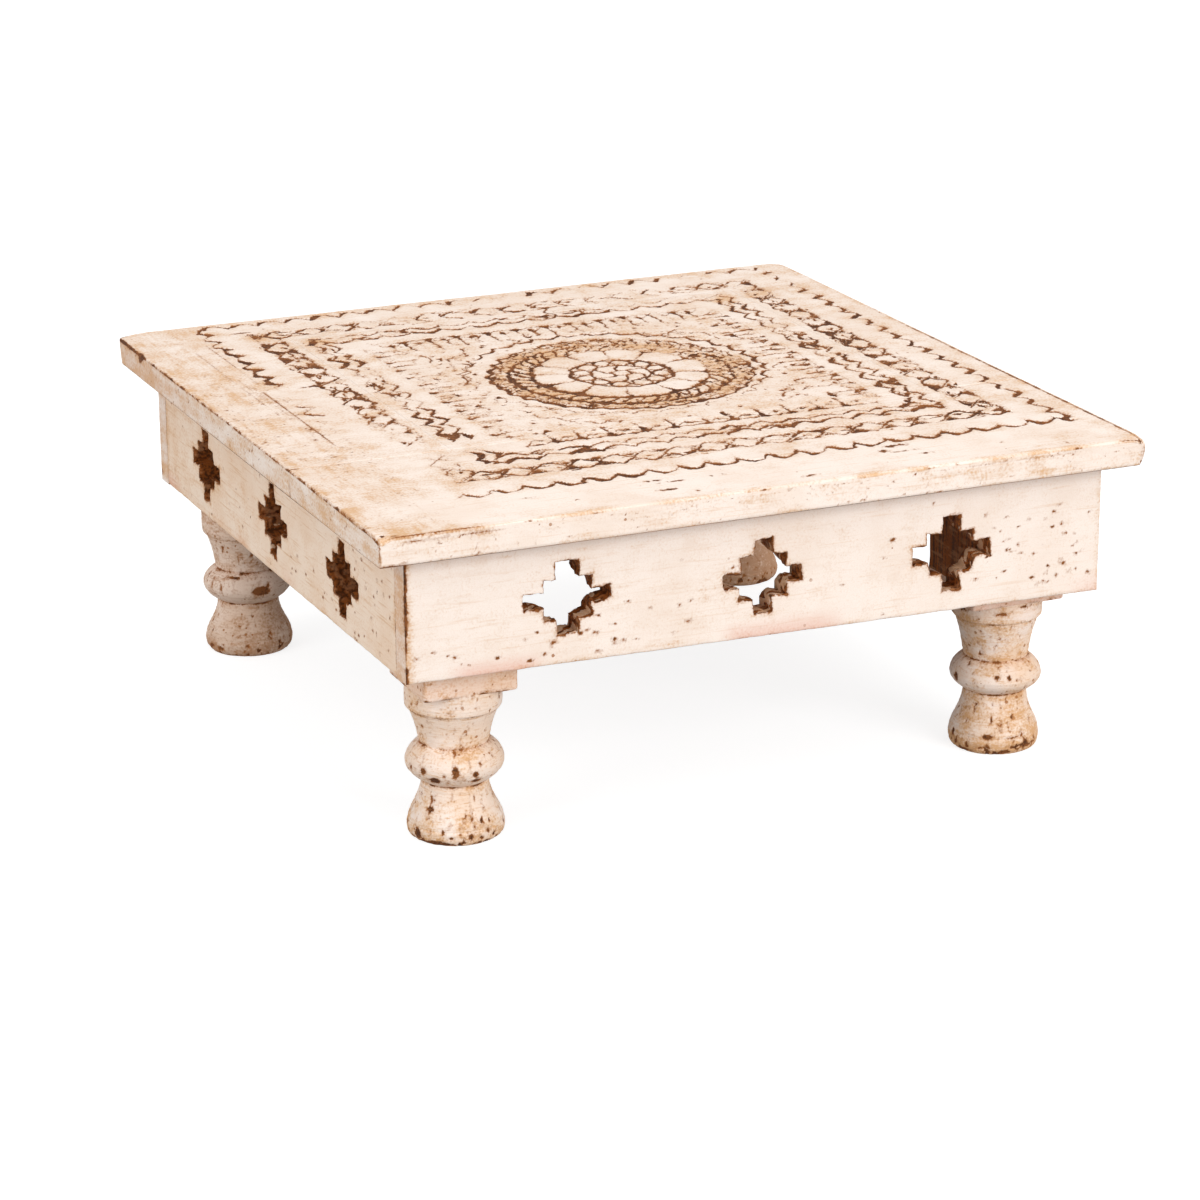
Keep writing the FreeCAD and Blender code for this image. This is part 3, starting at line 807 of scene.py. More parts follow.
    def comb(self, x: Array, y: Array) -> Array:
        """Reach of the comb: a bowed base line, flared ticks, and dots and arcs between them.

        A tick's half width falls from its foot as exp(-height / 2.4). The front has no short
        ticks between its long ones.

        Args:
            x, y: places on the top.
        Returns:
            Each point's reach.
        """
        reach = np.full(x.shape, NOWHERE)
        inside = overlap(between(x, *self.comb_across), between(y, *self.comb_along))
        runs = (
            (x - self.comb_left[0], y, self.comb_left[1]), (self.comb_right[0] - x, y, self.comb_right[1]),
            (y - self.comb_front[0], x, self.comb_front[1]), (self.comb_back[0] - y, x, self.comb_back[1]),
        )
        for side, band, (up, along, tall) in zip(Side, self.bands, runs):
            near = np.abs(along[..., None] - np.array(band.teeth)).min(-1)
            width = band.comb * (0.45 + 1.5 * np.exp(-np.clip(up, 0, None) / 2.4))
            tick = overlap(width - near, between(up, -1.2, tall))
            if side != Side.FRONT:
                width = band.comb * (0.35 + 0.5 * np.exp(-np.abs(up - 3) / 3))
                short = overlap(width - np.abs(near - self.half_tooth_gap), between(up, 1, tall - 3))
                tick = union(tick, short)
            ends = between(along, min(band.teeth) - 14, max(band.teeth) + 14)
            bow = 1.5 * np.cos(np.clip(near / self.half_tooth_gap, 0, 1) * np.pi / 2)
            base = band.base - np.abs(up + 0.9 - bow)
            dot = 0.75 * band.comb - np.hypot(up - 3.8, near - 6.2)
            arc = 0.4 * band.comb - np.abs(up - 5.2 + 0.16 * (near - 6.5) ** 2)
            cut = union(tick, overlap(union(base, dot, arc), ends)) - 0.6 * tatters(x, y, 5, 85 + side)
            reach = union(reach, overlap(cut, inside))
        return reach


@dataclass(frozen=True)
class Polar:
    """A grid's points about the rosette's middle.

    r is the distance, angle in degrees and spin the same in radians. heavy is 1 where the
    cutting is boldest and 0 across from it, and torn is where its lines break off.
    """

    x: Array
    y: Array
    r: Array
    angle: Array
    spin: Array
    heavy: Array
    torn: Array

    def strokes(self, count: int, slant: float) -> tuple[Array, Array]:
        """Slanting strokes round a ring: each point's stroke, and how far it lies off it, below zero."""
        coil = (self.spin * count + self.r * slant) / (2 * math.pi)
        apart = np.abs(coil - np.floor(coil) - 0.5) * 2 * math.pi * self.r / count
        return np.floor(coil) % count, apart - math.pi * self.r / count


@dataclass(frozen=True)
class Rosette:
    """The round middle: scallops, a rope, twelve petals, a ring of pearls and a small flower.

    A ring is its half width less |r - radius|. bold_side is the direction in which the cutting is
    boldest, and dividers are the directions of the lines between the petals, all in degrees.
    """

    x: float = 14.0
    y: float = 14.0
    bold_side: float = 228.0
    scallops: float = 66.2
    wavy_ring: float = 56.6
    rope: tuple = (38.5, 47.0)
    outer_rope: tuple = (47.5, 56.0)
    petals_from: float = 22.0
    petals_to: float = 37.2
    pearl_ring: float = 17.2
    pearl: float = 3.9
    pearls: int = 12
    flower: float = 12.8
    button: float = 4.2
    dividers: tuple = (15, 50, 79, 107, 138, 160, 190, 218, 252, 285, 313, 340)

    def reach(self, x: Array, y: Array) -> tuple[Array, Array]:
        """Reach of the cuts and the ochre wash on the rope.

        Args:
            x, y: places on the top.
        Returns:
            The reach, and the wash from 0 to 1.
        """
        dx, dy = x - self.x, y - self.y
        angle = np.degrees(np.arctan2(dy, dx)) % 360
        spin = np.radians(angle)
        heavy = 0.5 + 0.5 * np.cos(spin - math.radians(self.bold_side))
        torn = np.clip(noise(x, y, 5, 91, 3), 0, 1.2)
        p = Polar(x, y, np.hypot(dx, dy), angle, spin, heavy, torn)
        wash = 0.55 + 0.5 * noise(x, y, 4, 95, 3) + 0.2 * heavy
        wash = smooth(35.5, 39, p.r) * smooth(60, 50, p.r) * wash
        cuts = union(self.rim(p), self.ropes(p), self.petals(p), self.middle(p))
        return cuts, np.clip(wash, 0, 1)

    def rim(self, p: Polar) -> Array:
        """Reach of the outer scallops, faint at the lower left, and of the wavy rings inside them.

        Args:
            p: the points about the rosette's middle.
        Returns:
            Each point's reach.
        """
        faint = 0.35 + 0.65 * smooth(-0.5, 0.6, np.cos(p.spin - 0.9))
        scallop = self.scallops + 2.4 * np.sin(p.spin) - 1.4 * np.cos(p.spin)
        scallop = scallop - 3.4 * np.abs(np.sin(p.spin * 18))
        waves = np.abs(np.sin(p.spin * 22))
        wavy = np.abs(p.r - self.wavy_ring - 0.8 * np.sin(p.spin * 36))
        return union(
            1.1 * faint - np.abs(p.r - scallop) * 0.85 - 0.5 * p.torn,
            0.6 + 0.8 * p.heavy - wavy - 0.6 * p.torn * (1.2 - p.heavy),
            0.3 - np.abs(p.r - 52.2 - 1.5 * waves) - 0.35 * p.torn,
            0.5 + 1.1 * p.heavy - np.abs(p.r - 48.6 + 1.2 * waves) - 0.7 * p.torn * (1.3 - p.heavy),
        )

    def ropes(self, p: Polar) -> Array:
        """Reach of two rings of slanting strokes, the inner rope's edge and stray flecks.

        Args:
            p: the points about the rosette's middle.
        Returns:
            Each point's reach.
        """
        number, stroke = p.strokes(46, 0.75)
        stroke = (0.3 + 0.8 * chance(number, 13)) * (0.7 + 0.6 * p.heavy) + stroke
        rope = overlap(stroke, between(p.r, *self.rope)) - 0.5 * p.torn
        edge = 0.15 + 1.6 * p.heavy ** 2 - np.abs(p.r - 37.8 - 0.8 * p.heavy) - 0.8 * p.torn * (1.4 - p.heavy)

        number, stroke = p.strokes(62, -0.5)
        stroke = 0.15 + 0.6 * chance(number, 14) * (1.2 - p.heavy) + stroke
        low, high = self.outer_rope
        outer = overlap(stroke, between(p.r, low + 3 * chance(number, 15), high)) - 0.6 * p.torn

        reach = union(rope, edge, outer)
        for size, limit, seed in ((2.4, 0.5, 93), (1.5, 0.62, 94)):
            flecks = 1.5 * size * (noise(p.x + 0.5 * p.y, p.y - 0.5 * p.x, size, seed) - limit)
            reach = union(reach, overlap(flecks, between(p.r, 38, 57.5)))
        return reach

    def petals(self, p: Polar) -> Array:
        """Reach of the petals: the lines between them, their rounded ends and the ring at their foot.

        Args:
            p: the points about the rosette's middle.
        Returns:
            Each point's reach.
        """
        gaps = np.abs((p.angle[..., None] - np.array(self.dividers) + 180) % 360 - 180)
        apart = np.radians(gaps.min(-1)) * p.r
        bold = 0.5 + 0.8 * chance(gaps.argmin(-1), 16)
        line = bold * (0.4 + 0.6 * smooth(27, 35, p.r)) - apart
        end = self.petals_to + 0.6 * (1 - p.heavy) - 5.2 * bold * np.exp(-apart / 1.7)
        return union(
            overlap(line, between(p.r, self.petals_from, 37)) - 0.25 * p.torn,
            between(p.r, end, 38) - 0.5 * p.torn,
            0.95 - np.abs(p.r - self.petals_from) - 0.3 * p.torn,
        )

    def middle(self, p: Polar) -> Array:
        """Reach of the pearls and of the flower of six swirling petals round a button.

        Args:
            p: the points about the rosette's middle.
        Returns:
            Each point's reach.
        """
        bead = (p.spin * self.pearls / (2 * math.pi) + 0.3) % 1 - 0.5
        pearl = np.hypot(p.r - self.pearl_ring, bead * 2 * math.pi * self.pearl_ring / self.pearls)
        whirl = (p.spin + p.r * 0.07) * 6 / (2 * math.pi) % 1
        split = np.minimum(whirl, 1 - whirl) * 2 * math.pi * p.r / 6
        return union(
            0.65 + 0.4 * p.torn - np.abs(pearl - self.pearl),
            0.75 - np.abs(p.r - self.flower) - 0.3 * p.torn,
            overlap(0.75 - split, between(p.r, 3.6, 12.6)),
            0.6 - np.abs(p.r - self.button),
        )


@dataclass(frozen=True)
class Carving:
    """The chip carving of the top: square frames round a rosette, with curls in its corners."""

    frames: Frames = Frames()
    rosette: Rosette = Rosette()
    depth: float = 0.7
    waver: float = 0.7
    curls: tuple = (
        ((-50, 46), (-47, 56), (-46, 66), (-41, 65), (-36, 67), (-34, 73), (-33, 80)),
        ((-54, 22), (-50, 30), (-51, 40), (-44, 45), (-42, 52), (-36, 55)),
        ((50, 72), (54, 66), (60, 64), (63, 69), (66, 62)),
        ((66, 68), (70, 62), (75, 63), (77, 56), (77, 48)),
        ((-54, -27), (-51, -32), (-46, -31), (-45, -38), (-40, -38), (-36, -45), (-30, -44)),
        ((-30, -49), (-26, -55), (-20, -52), (-14, -56)),
        ((60, -50), (62, -44), (68, -42), (69, -36), (75, -34), (76, -28), (82, -26)),
        ((-56, 60), (-52, 66), (-53, 74), (-56, 78)),
    )

    def spandrels(self, x: Array, y: Array) -> Array:
        """Reach of the curls and the hatching in the corners round the rosette."""
        curls = union(*(0.55 - path_distance(x, y, curl) for curl in self.curls))
        hatch = 2.2 * (noise(x * 0.9 + y * 0.5, y * 0.9 - x * 0.5, 3.0, 87) - 0.78)
        outside = np.hypot(x - self.rosette.x, y - self.rosette.y) - 62
        hatch = overlap(hatch, between(x, -68, 94), between(y, -64, 94), outside)
        return union(curls - 0.7 * tatters(x, y, 4, 86), hatch)

    @staticmethod
    def fade(x: Array, y: Array) -> Array:
        """How far the cutting is rubbed away, in millimetres of half width.

        Args:
            x, y: places on the top.
        Returns:
            What to take off each point's reach.
        """
        left_zigzags = 1.9 * smooth(-71, -79, x) * smooth(12, 4, np.abs(y + 62))
        inner_zigzag = smooth(-76, -79, x) * smooth(-95, -92, x)
        left_zigzags += 0.35 * inner_zigzag * smooth(72, 62, y) * smooth(-6, 2, y)
        left_chain = 0.45 * smooth(-96, -106, x) * smooth(0, -30, y)
        left_wave = 1.3 * smooth(-117, -121, x) * smooth(54, 46, y) * smooth(22, 26, np.abs(y - 12) + 14)
        left_wave += 0.5 * smooth(-118, -122, x) * smooth(54, 46, y)
        back_comb = 0.3 * smooth(10, 60, x) * smooth(92, 104, y)
        back_wave = 1.2 * smooth(149, 153, y) * smooth(-0.1, 0.25, noise(x, 0.0, 24, 72))
        everywhere = 0.25 * smooth(0.1, 0.9, noise(x, y, 22, 71))
        return left_zigzags + left_chain + left_wave + back_comb + back_wave + everywhere

    def cut(self, x: Array, y: Array) -> tuple[Array, Array, Array]:
        """The whole carving, drawn by a hand that wavers by up to a millimetre.

        Args:
            x, y: places on the top.
        Returns:
            Depth in millimetres, reach and grime for each point.
        """
        u, v = (
            place + self.waver * noise(x, y, 9, seed) + self.waver * noise(x, y, 2.6, seed + 1)
            for place, seed in ((x, 3), (y, 5))
        )
        middle, wash = self.rosette.reach(u, v)
        reach = union(self.frames.reach(u, v), self.spandrels(u, v)) - self.fade(x, y)
        reach = union(reach, middle)
        grime_and_shade = 0.1 + 0.14 * smooth(-4.5, -0.4, reach) + 0.55 * wash + 0.12 * noise(x, y, 13, 21)
        grime_and_shade += 0.16 * smooth(-130, -118, y)
        return self.depth * smooth(-0.45, 0.9, reach), reach, grime_and_shade


# The tabletop

@dataclass
class Tabletop:
    """The top: a front board and a back board, glued edge to edge and carved across both.

    corners holds, for each corner from the front left one round, how far its rounding reaches
    along X and Y and how much it takes off: 0.29 for a quarter ellipse, 0.5 for a straight cut.
    shifts moves the corners of the upper face, which was sawn a little out of square. inlay is
    where the plain bands let the back board's mesh be parted: its left, right and back. levels
    are the heights of the sides' layers of points, close together where the worn arris is drawn.
    Each crack is a place along X and its front and back end, each chip a place and a radius, and
    each stain a place, a spread and a strength.
    """

    half: float = 165.0
    top: float = 140.0
    underside: float = 128.0
    seam: float = -65.0
    inlay: tuple = (-96.0, 120.0, 125.5)
    arris: float = 0.7
    nose: float = 0.7
    bulge: float = 1.7
    ease: float = 0.6
    corners: tuple = ((1.5, 1.5, 0.29), (2.5, 2.5, 0.29), (7.5, 9.0, 0.29), (17.0, 6.5, 0.42))
    shifts: tuple = ((-1.0, -0.8), (0.8, -2.0), (-2.5, 0.0), (-3.0, 0.0))
    levels: tuple = (
        138.4, 137.4, 136.5, 136.05, 135.6, 135.0, 134.5, 134.0, 132.6, 131.0, 129.6, 128.6, 128.0,
    )
    fine: float = 0.7
    field_cell: float = 0.71
    rim_lines: tuple = (0.25, 0.6, 1.05, 1.7, 2.5)
    carving: Carving = Carving()
    cracks: tuple = ((-139.5, -30, 70), (-142.5, 10, 120), (-134, 60, 130))
    chips: tuple = (
        (-40, -138, 2.2), (-33, -142, 1.6), (-48, -142, 1.3), (-40, -151, 1.4), (-17, -142, 1.6),
        (-12, -141, 1.3), (60, -139, 1.8), (68, -134, 1.5), (68, -142, 1.5), (75, -148, 1.4),
        (18, -157, 1.3), (-114, 145, 1.7), (-115, 48, 1.7), (-50, 40, 1.5), (-30, -157, 1.2),
        (110, -147, 0.9), (-78, -149, 1.0), (-95, -139, 0.9), (133, -158, 1.1), (31, -149, 0.8),
        (-162, -161, 1.6), (-158, -163, 1.0), (-163, -150, 1.2),
    )
    stains: tuple = (
        (-157, -158, 9, 0.4), (-160, -120, 12, 0.2), (150, 118, 10, 0.25), (110, 114, 9, 0.6),
        (131, 114, 8, 0.5), (-107, 135, 9, 0.35), (-100, 118, 12, 0.15), (140, -150, 22, 0.12),
        (-10, 50, 12, 0.3), (40, 40, 14, 0.2), (-88, 116, 7, 0.6), (85, -70, 9, 0.25),
        (162, -160, 5, 0.5), (-110, -108, 12, 0.25), (-96, -60, 14, 0.2),
    )

    def outline(self, x: Array, y: Array) -> tuple[Array, Array]:
        """Round the four corners of the plan.

        Inside a corner's rectangle the place (p, q), in shares of its sides, goes to
        (p * (1 - cut * q^2), q * (1 - cut * p^2)).
        """
        u, v = x.copy(), y.copy()
        for (sx, sy), (long, deep, cut) in zip(CORNERS, self.corners):
            p = np.clip((x * sx - self.half + long) / long, 0, 1)
            q = np.clip((y * sy - self.half + deep) / deep, 0, 1)
            u -= sx * long * cut * p * q ** 2
            v -= sy * deep * cut * q * p ** 2
        return u, v

    def shift(self, x: Array, y: Array) -> tuple[Array, Array]:
        """How far the upper face lies off the square plan, blended between the corners' shifts."""
        a, b = x / (2 * self.half) + 0.5, y / (2 * self.half) + 0.5
        shares = ((1 - a) * (1 - b), a * (1 - b), a * b, (1 - a) * b)
        return tuple(sum(share * move[axis] for share, move in zip(shares, self.shifts)) for axis in (0, 1))

    def board(self, xs: Array, ys: Array, keep: Array) -> Shell:
        """One piece of the top on its grid.

        Args:
            xs, ys: grid lines.
            keep: the cells that belong to the piece.
        Returns:
            Its shell.
        """
        gx, gy = np.meshgrid(xs, ys, indexing="ij")
        x, y = self.outline(gx, gy)
        face, masks = self.face(gx, gy, x, y)
        wall, wall_masks = self.sides(gx, gy, x, y, face[..., 2])
        return slab(keep, face, wall, masks, wall_masks)

    def face(self, gx: Array, gy: Array, x: Array, y: Array) -> tuple[Array, dict[str, Array]]:
        """The upper face: the top less the carving, a slow waviness and the worn, rounded arris.

        Args:
            gx, gy: the grid's points in the square plan.
            x, y: the same in the plan with rounded corners.
        Returns:
            The points and their paint masks.
        """
        edge = np.minimum(self.half - np.abs(gx), self.half - np.abs(gy))
        from_front = gy + self.half
        depth, reach, grime_and_shade = self.carving.cut(x, y)
        ragged = noise(gx, gy, 11, 51, 3)
        worn_left = 0.8 * smooth(7, 2, gx + self.half) * smooth(-50, -130, gy)
        drop = round_off(edge, self.arris * (1 + 0.3 * ragged) + worn_left)
        drop += (0.15 + 0.25 * smooth(-self.half, self.half, gx)) * smooth(3, 0, from_front) ** 2
        for end, loss in ((-self.half, 1.1), (self.half, 1.3)):
            drop += loss * np.exp(-((gx - end) ** 2 + from_front ** 2) / 4 ** 2)
        joint = trough(np.abs(gy - self.seam), 0.5, 0.12)
        z = self.top - depth - drop - joint + 0.10 * noise(x, y, 30, 41) - 0.10
        z -= 0.05 * np.abs(noise(x * 0.05, y, 1.4, 42))
        # Painted shade: a darker strip along the front arris, toning down the highlight the lamps put on it.
        grime_and_shade += 0.2 * smooth(4.0, 1.8, from_front)
        grime_and_shade += 0.35 * smooth(7, 0, edge) * np.clip(0.4 + 0.8 * ragged, 0, 1) + self.stained(x, y)
        move_x, move_y = self.shift(x, y)
        blank = np.zeros(gx.shape)
        reach = union(reach, self.rim(gx, gy), self.scratches(x, y))
        masks = {"ink": signed(reach), "grime_and_shade": grime_and_shade, "bare": blank, "blush": blank}
        return np.stack([x + move_x, y + move_y, z], -1), masks

    def sides(self, gx: Array, gy: Array, x: Array, y: Array, z: Array) -> tuple[Array, dict[str, Array]]:
        """The sides, layer by layer down to the underside.

        The front's lower edge is rounded by the nose, the others by less, and the right side
        bulges at the front by bulge * (1 - ((height - 134.3) / 6)^2).

        Args:
            gx, gy, x, y: the plan's points, as for the face.
            z: the face's heights.
        Returns:
            The points of the layers and their paint masks.
        """
        on_front, on_right = gy < 0.01 - self.half, gx > self.half - 0.01
        at_side, at_end = np.abs(gx) > self.half - 0.01, np.abs(gy) > self.half - 0.01
        move_x, move_y = self.shift(x, y)
        wall, cuts, washes = [], [], []
        for level in self.levels:
            above = level - self.underside
            curl = round_off(above, self.nose)
            small = self.ease * max(0.0, self.ease - above)
            pull = np.where(on_front, curl, small) + 0.10 * np.abs(noise(gx + level * 3, gy, 7, 46))
            swell = self.bulge * max(0.0, 1 - ((level - 134.3) / 6) ** 2) * smooth(60, 8, gy + self.half)
            out_x = np.where(at_side, np.sign(gx) * (pull - on_right * swell), 0)
            out_y = np.where(at_end, np.sign(gy) * pull, 0)
            lift = 0.8 + 0.2 * min(1.0, max(0.0, (level - 129) / 8))
            high = np.minimum(level, z - 0.05 - 0.1 * (self.top - level) / (self.top - self.underside))
            wall.append(np.stack([x - out_x + lift * move_x, y - out_y + lift * move_y, high], -1))
            cuts.append(self.side_marks(gx, gy, level, on_front))
            washes.append(self.side_wash(gx, gy, level, on_front))
        cuts, washes = np.stack(cuts), np.stack(washes)
        blank = np.zeros(cuts.shape)
        underside = np.array(self.levels)[:, None, None] < self.underside + 0.1
        blush = np.where(at_side & (gx < 0), 0.2 * smooth(0, 150, gy), 0.0)
        masks = {"ink": signed(cuts), "grime_and_shade": washes, "bare": underside + blank, "blush": blush + blank}
        return np.stack(wall), masks

    def rim(self, x: Array, y: Array) -> Array:
        """Reach of the rubbed arrises: a broken brown line, boldest at the back of the left edge.

        Args:
            x, y: places in the square plan.
        Returns:
            Each point's reach.
        """
        ragged, tight = noise(x, y, 9, 52, 3), 0.4 * noise(x, y, 3.2, 53)
        from_left, from_right = x + self.half, self.half - x
        from_front, from_back = y + self.half, self.half - y
        bold = self.bite(x, y) + 0.15 * smooth(0.3, 0.8, ragged) * smooth(-80, -110, y)
        left = 0.1 + tight + 1.4 * bold + 0.25 * smooth(40, 60, y) - from_left
        right = 0.9 * smooth(0.2, 0.6, ragged) + tight - 0.15 - from_right
        bevel = 0.45 + 0.75 * tight - np.abs(from_right - 1.7) - 0.8 * smooth(0, 90, y)
        front = 0.9 * smooth(0.5, 0.9, ragged) + tight - 0.75 - from_front
        ends = smooth(-166, -158, x) * smooth(-112, -128, x) + smooth(151, 156, x)
        line = 0.35 + 0.5 * tight - np.abs(from_front - 0.6) - 1.2 * (1 - ends)
        back = 0.7 * smooth(0.2, 0.6, ragged) + tight - 0.4 - from_back
        return union(left, right, bevel, front, line, back)

    @staticmethod
    def bite(x: Array, y: Array) -> Array:
        """Where the left arris is knocked off, from 0 to 1, near the back corner."""
        return (0.3 + 0.7 * smooth(-0.3, 0.3, noise(x * 0.2, y, 6, 49, 3))) * smooth(118, 132, y)

    def side_marks(self, x: Array, y: Array, level: float, on_front: Array) -> Array:
        """Reach of the marks on the sides at one level: scratches, specks and the corners' lines.

        Args:
            x, y, level: places in the square plan and the layer's height.
            on_front: which points lie on the front.
        Returns:
            Each point's reach.
        """
        shown = smooth(-100, -125, x) * smooth(-158, -152, x) + 0.6 * smooth(60, 90, x) * smooth(150, 120, x)
        scratch = 0.3 - np.abs(level - 137.4 - 0.15 * noise(x, y, 12, 54))
        scratch = scratch - 0.5 * tatters(x, y, 5, 55) - 0.9 * (1 - shown)
        specks = 2.0 * (noise(x + level * 0.9, y + level * 1.3, 1.5, 56) - 0.98)
        left_corner = 0.25 + 0.4 * noise(x + level, y - level, 3, 57)
        left_corner = left_corner - np.abs(x + self.half) - 0.6 * np.abs(y + self.half)
        right_corner = 0.3 * noise(x + level, y - level, 2.4, 50) - 0.3 + 0.7 * (level < 130.5)
        right_corner = right_corner - np.hypot(x - self.half, y + self.half)
        above = level - self.underside
        low = 0.9 * smooth(-140, -162, x) + 0.4 * noise(x, y, 5, 58) - 0.3 - above
        joint = 0.4 + 0.3 * noise(x + level, y, 3, 59) - np.abs(y - self.seam) - 0.1 * above
        worn = 2.4 * self.bite(x, y) + 0.5 * noise(x, y + level, 4, 44) - 0.55 * (self.top - level)
        worn = np.where((x < 0) & ~on_front, worn, NOWHERE)
        reach = np.where(on_front, union(scratch, low), joint)
        return union(reach, specks, left_corner, right_corner, worn)

    def side_wash(self, x: Array, y: Array, level: float, on_front: Array) -> Array:
        """Grime of the sides at one level: darker on the left, at its back and near its front."""
        wash = 0.17 + 0.2 * noise(x + y, level * 4, 15, 48) + 0.2 * (level < 129)
        wash += 0.2 * noise((x + y) * 0.1, level, 1.4, 45)
        left = 0.26 + 0.28 * smooth(95, 110, y) + 0.4 * bell(y, -106, 9)
        front = 0.15 * bell(x, -42, 14) + 0.12 * bell(x, 100, 18)
        return wash + np.where(x < 1 - self.half, left, front * on_front)

    def scratches(self, x: Array, y: Array) -> Array:
        """Reach of the scribed line and cracks at the left, a split at the back and loose chips.

        Args:
            x, y: places on the top.
        Returns:
            Each point's reach.
        """
        scribed = overlap(0.38 - np.abs(x + 136.5 + 0.3 * noise(y, x, 15, 62)), between(y, -41, 48))
        joint = overlap(0.4 - np.abs(y - self.seam), -161 - x)
        split = overlap(0.65 - np.abs(x - 26.5 - 1.6 * np.sin(y * 0.55)), between(y, 112, 138))
        dust = 1.3 * (noise(x * 1.2, y, 1.6, 66) - 0.92 - 0.3 * smooth(30, 110, np.abs(y + 10)))
        reach = union(scribed, joint, split, np.where(x < -129, dust, NOWHERE))
        sway, broken = 0.4 * noise(y, x, 12, 64), 0.5 * tatters(x, y * 0.3, 3, 65)
        for place, low, high in self.cracks:
            crack = overlap(0.2 - np.abs(x - place + sway), between(y, low, high))
            reach = union(reach, crack - broken)
        torn = 0.8 * noise(x, y, 1.7, 63)
        for cx, cy, size in self.chips:
            far = np.hypot((x - cx) * (0.7 + 0.5 * math.sin(cx)), (y - cy) * (1 + 0.4 * math.sin(cy)))
            reach = union(reach, 0.55 * size + torn - far)
        return reach

    def stained(self, x: Array, y: Array) -> Array:
        """Ochre in the paint: the borders, a streak along the front arris, and the stains.

        Args:
            x, y: places on the top.
        Returns:
            The grime to add.
        """
        total = 0.17 * smooth(-126, -134, x) + 0.08 * smooth(150, 156, x) + 0.08 * smooth(156, 160, y)
        fibres = 0.5 + 1.1 * noise(x * 0.12, y, 1.0, 67)
        total += 0.2 * fibres * bell(y - 0.01 * x, -159.5, 1.6)
        total += 0.3 * smooth(0.1, 0.9, noise(x, y * 0.08, 1.2, 68)) * smooth(-130, -136, x)
        for cx, cy, size, strength in self.stains:
            total += strength * np.exp(-((x - cx) ** 2 + (y - cy) ** 2) / size ** 2)
        return total * (0.8 + 0.5 * noise(x, y, 8, 61))

    def build(self, paint: bpy.types.Material) -> None:
        """Make the boards. The back board is cut at a plain band into a border and its field.

        Args:
            paint: the top's paint.
        """
        left, right, back = self.inlay
        step = self.fine
        breaks = [-self.half, -134, left, right, 156, self.half]
        xs = grid_lines(breaks, [1.2, step, step, step, 1.0], self.rim_lines)
        front_ys = grid_lines([-self.half, -131, self.seam], [1.1, step])
        front_ys = np.unique(np.concatenate((front_ys, [edge - self.half for edge in self.rim_lines])))
        back_ys = grid_lines([self.seam, back, 161, self.half], [step, step, 1.0])
        back_ys = np.unique(np.concatenate((back_ys, [self.half - edge for edge in self.rim_lines])))
        field_xs = grid_lines([left, right], [self.field_cell])
        field_ys = grid_lines([self.seam, back], [self.field_cell])
        mid_x, mid_y = (xs[:-1, None] + xs[1:, None]) / 2, (back_ys[None, :-1] + back_ys[None, 1:]) / 2
        inside = (mid_x > left) & (mid_x < right) & (mid_y < back)
        parts = (
            ("top_front_board_carved", xs, front_ys, None, "top_front_board"),
            ("top_back_board_border", xs, back_ys, ~inside, "top_back_board"),
            ("top_back_board_field", field_xs, field_ys, None, "top_back_board"),
        )
        for name, lines_x, lines_y, keep, node in parts:
            if keep is None:
                keep = np.ones((len(lines_x) - 1, len(lines_y) - 1), bool)
            dress(self.board(lines_x, lines_y, keep).write(name, paint), node)


# The apron

@dataclass(frozen=True)
class Cross:
    """One pierced stepped cross: its centre along and up the board, and how its arms differ."""

    along: float
    up: float
    wide: float = 36.0
    tall: float = 32.0
    step_wide: float = 20.4
    step_tall: float = 17.8
    arm_wide: float = 7.6
    arm_tall: float = 6.6

    def boxes(self) -> tuple[tuple[float, float], ...]:
        """Half sizes of the three rectangles whose union is the cross."""
        return (
            (self.wide / 2, self.arm_tall / 2),
            (self.step_wide / 2, self.step_tall / 2),
            (self.arm_wide / 2, self.tall / 2),
        )

    def distance(self, a: Array, b: Array) -> Array:
        """Distance to the cross, below zero inside: the least over its rectangles."""
        best = np.full(a.shape, np.inf)
        for half_a, half_b in self.boxes():
            da, db = np.abs(a - self.along) - half_a, np.abs(b - self.up) - half_b
            out = np.hypot(np.clip(da, 0, None), np.clip(db, 0, None)) + np.minimum(np.maximum(da, db), 0)
            best = np.minimum(best, out)
        return best


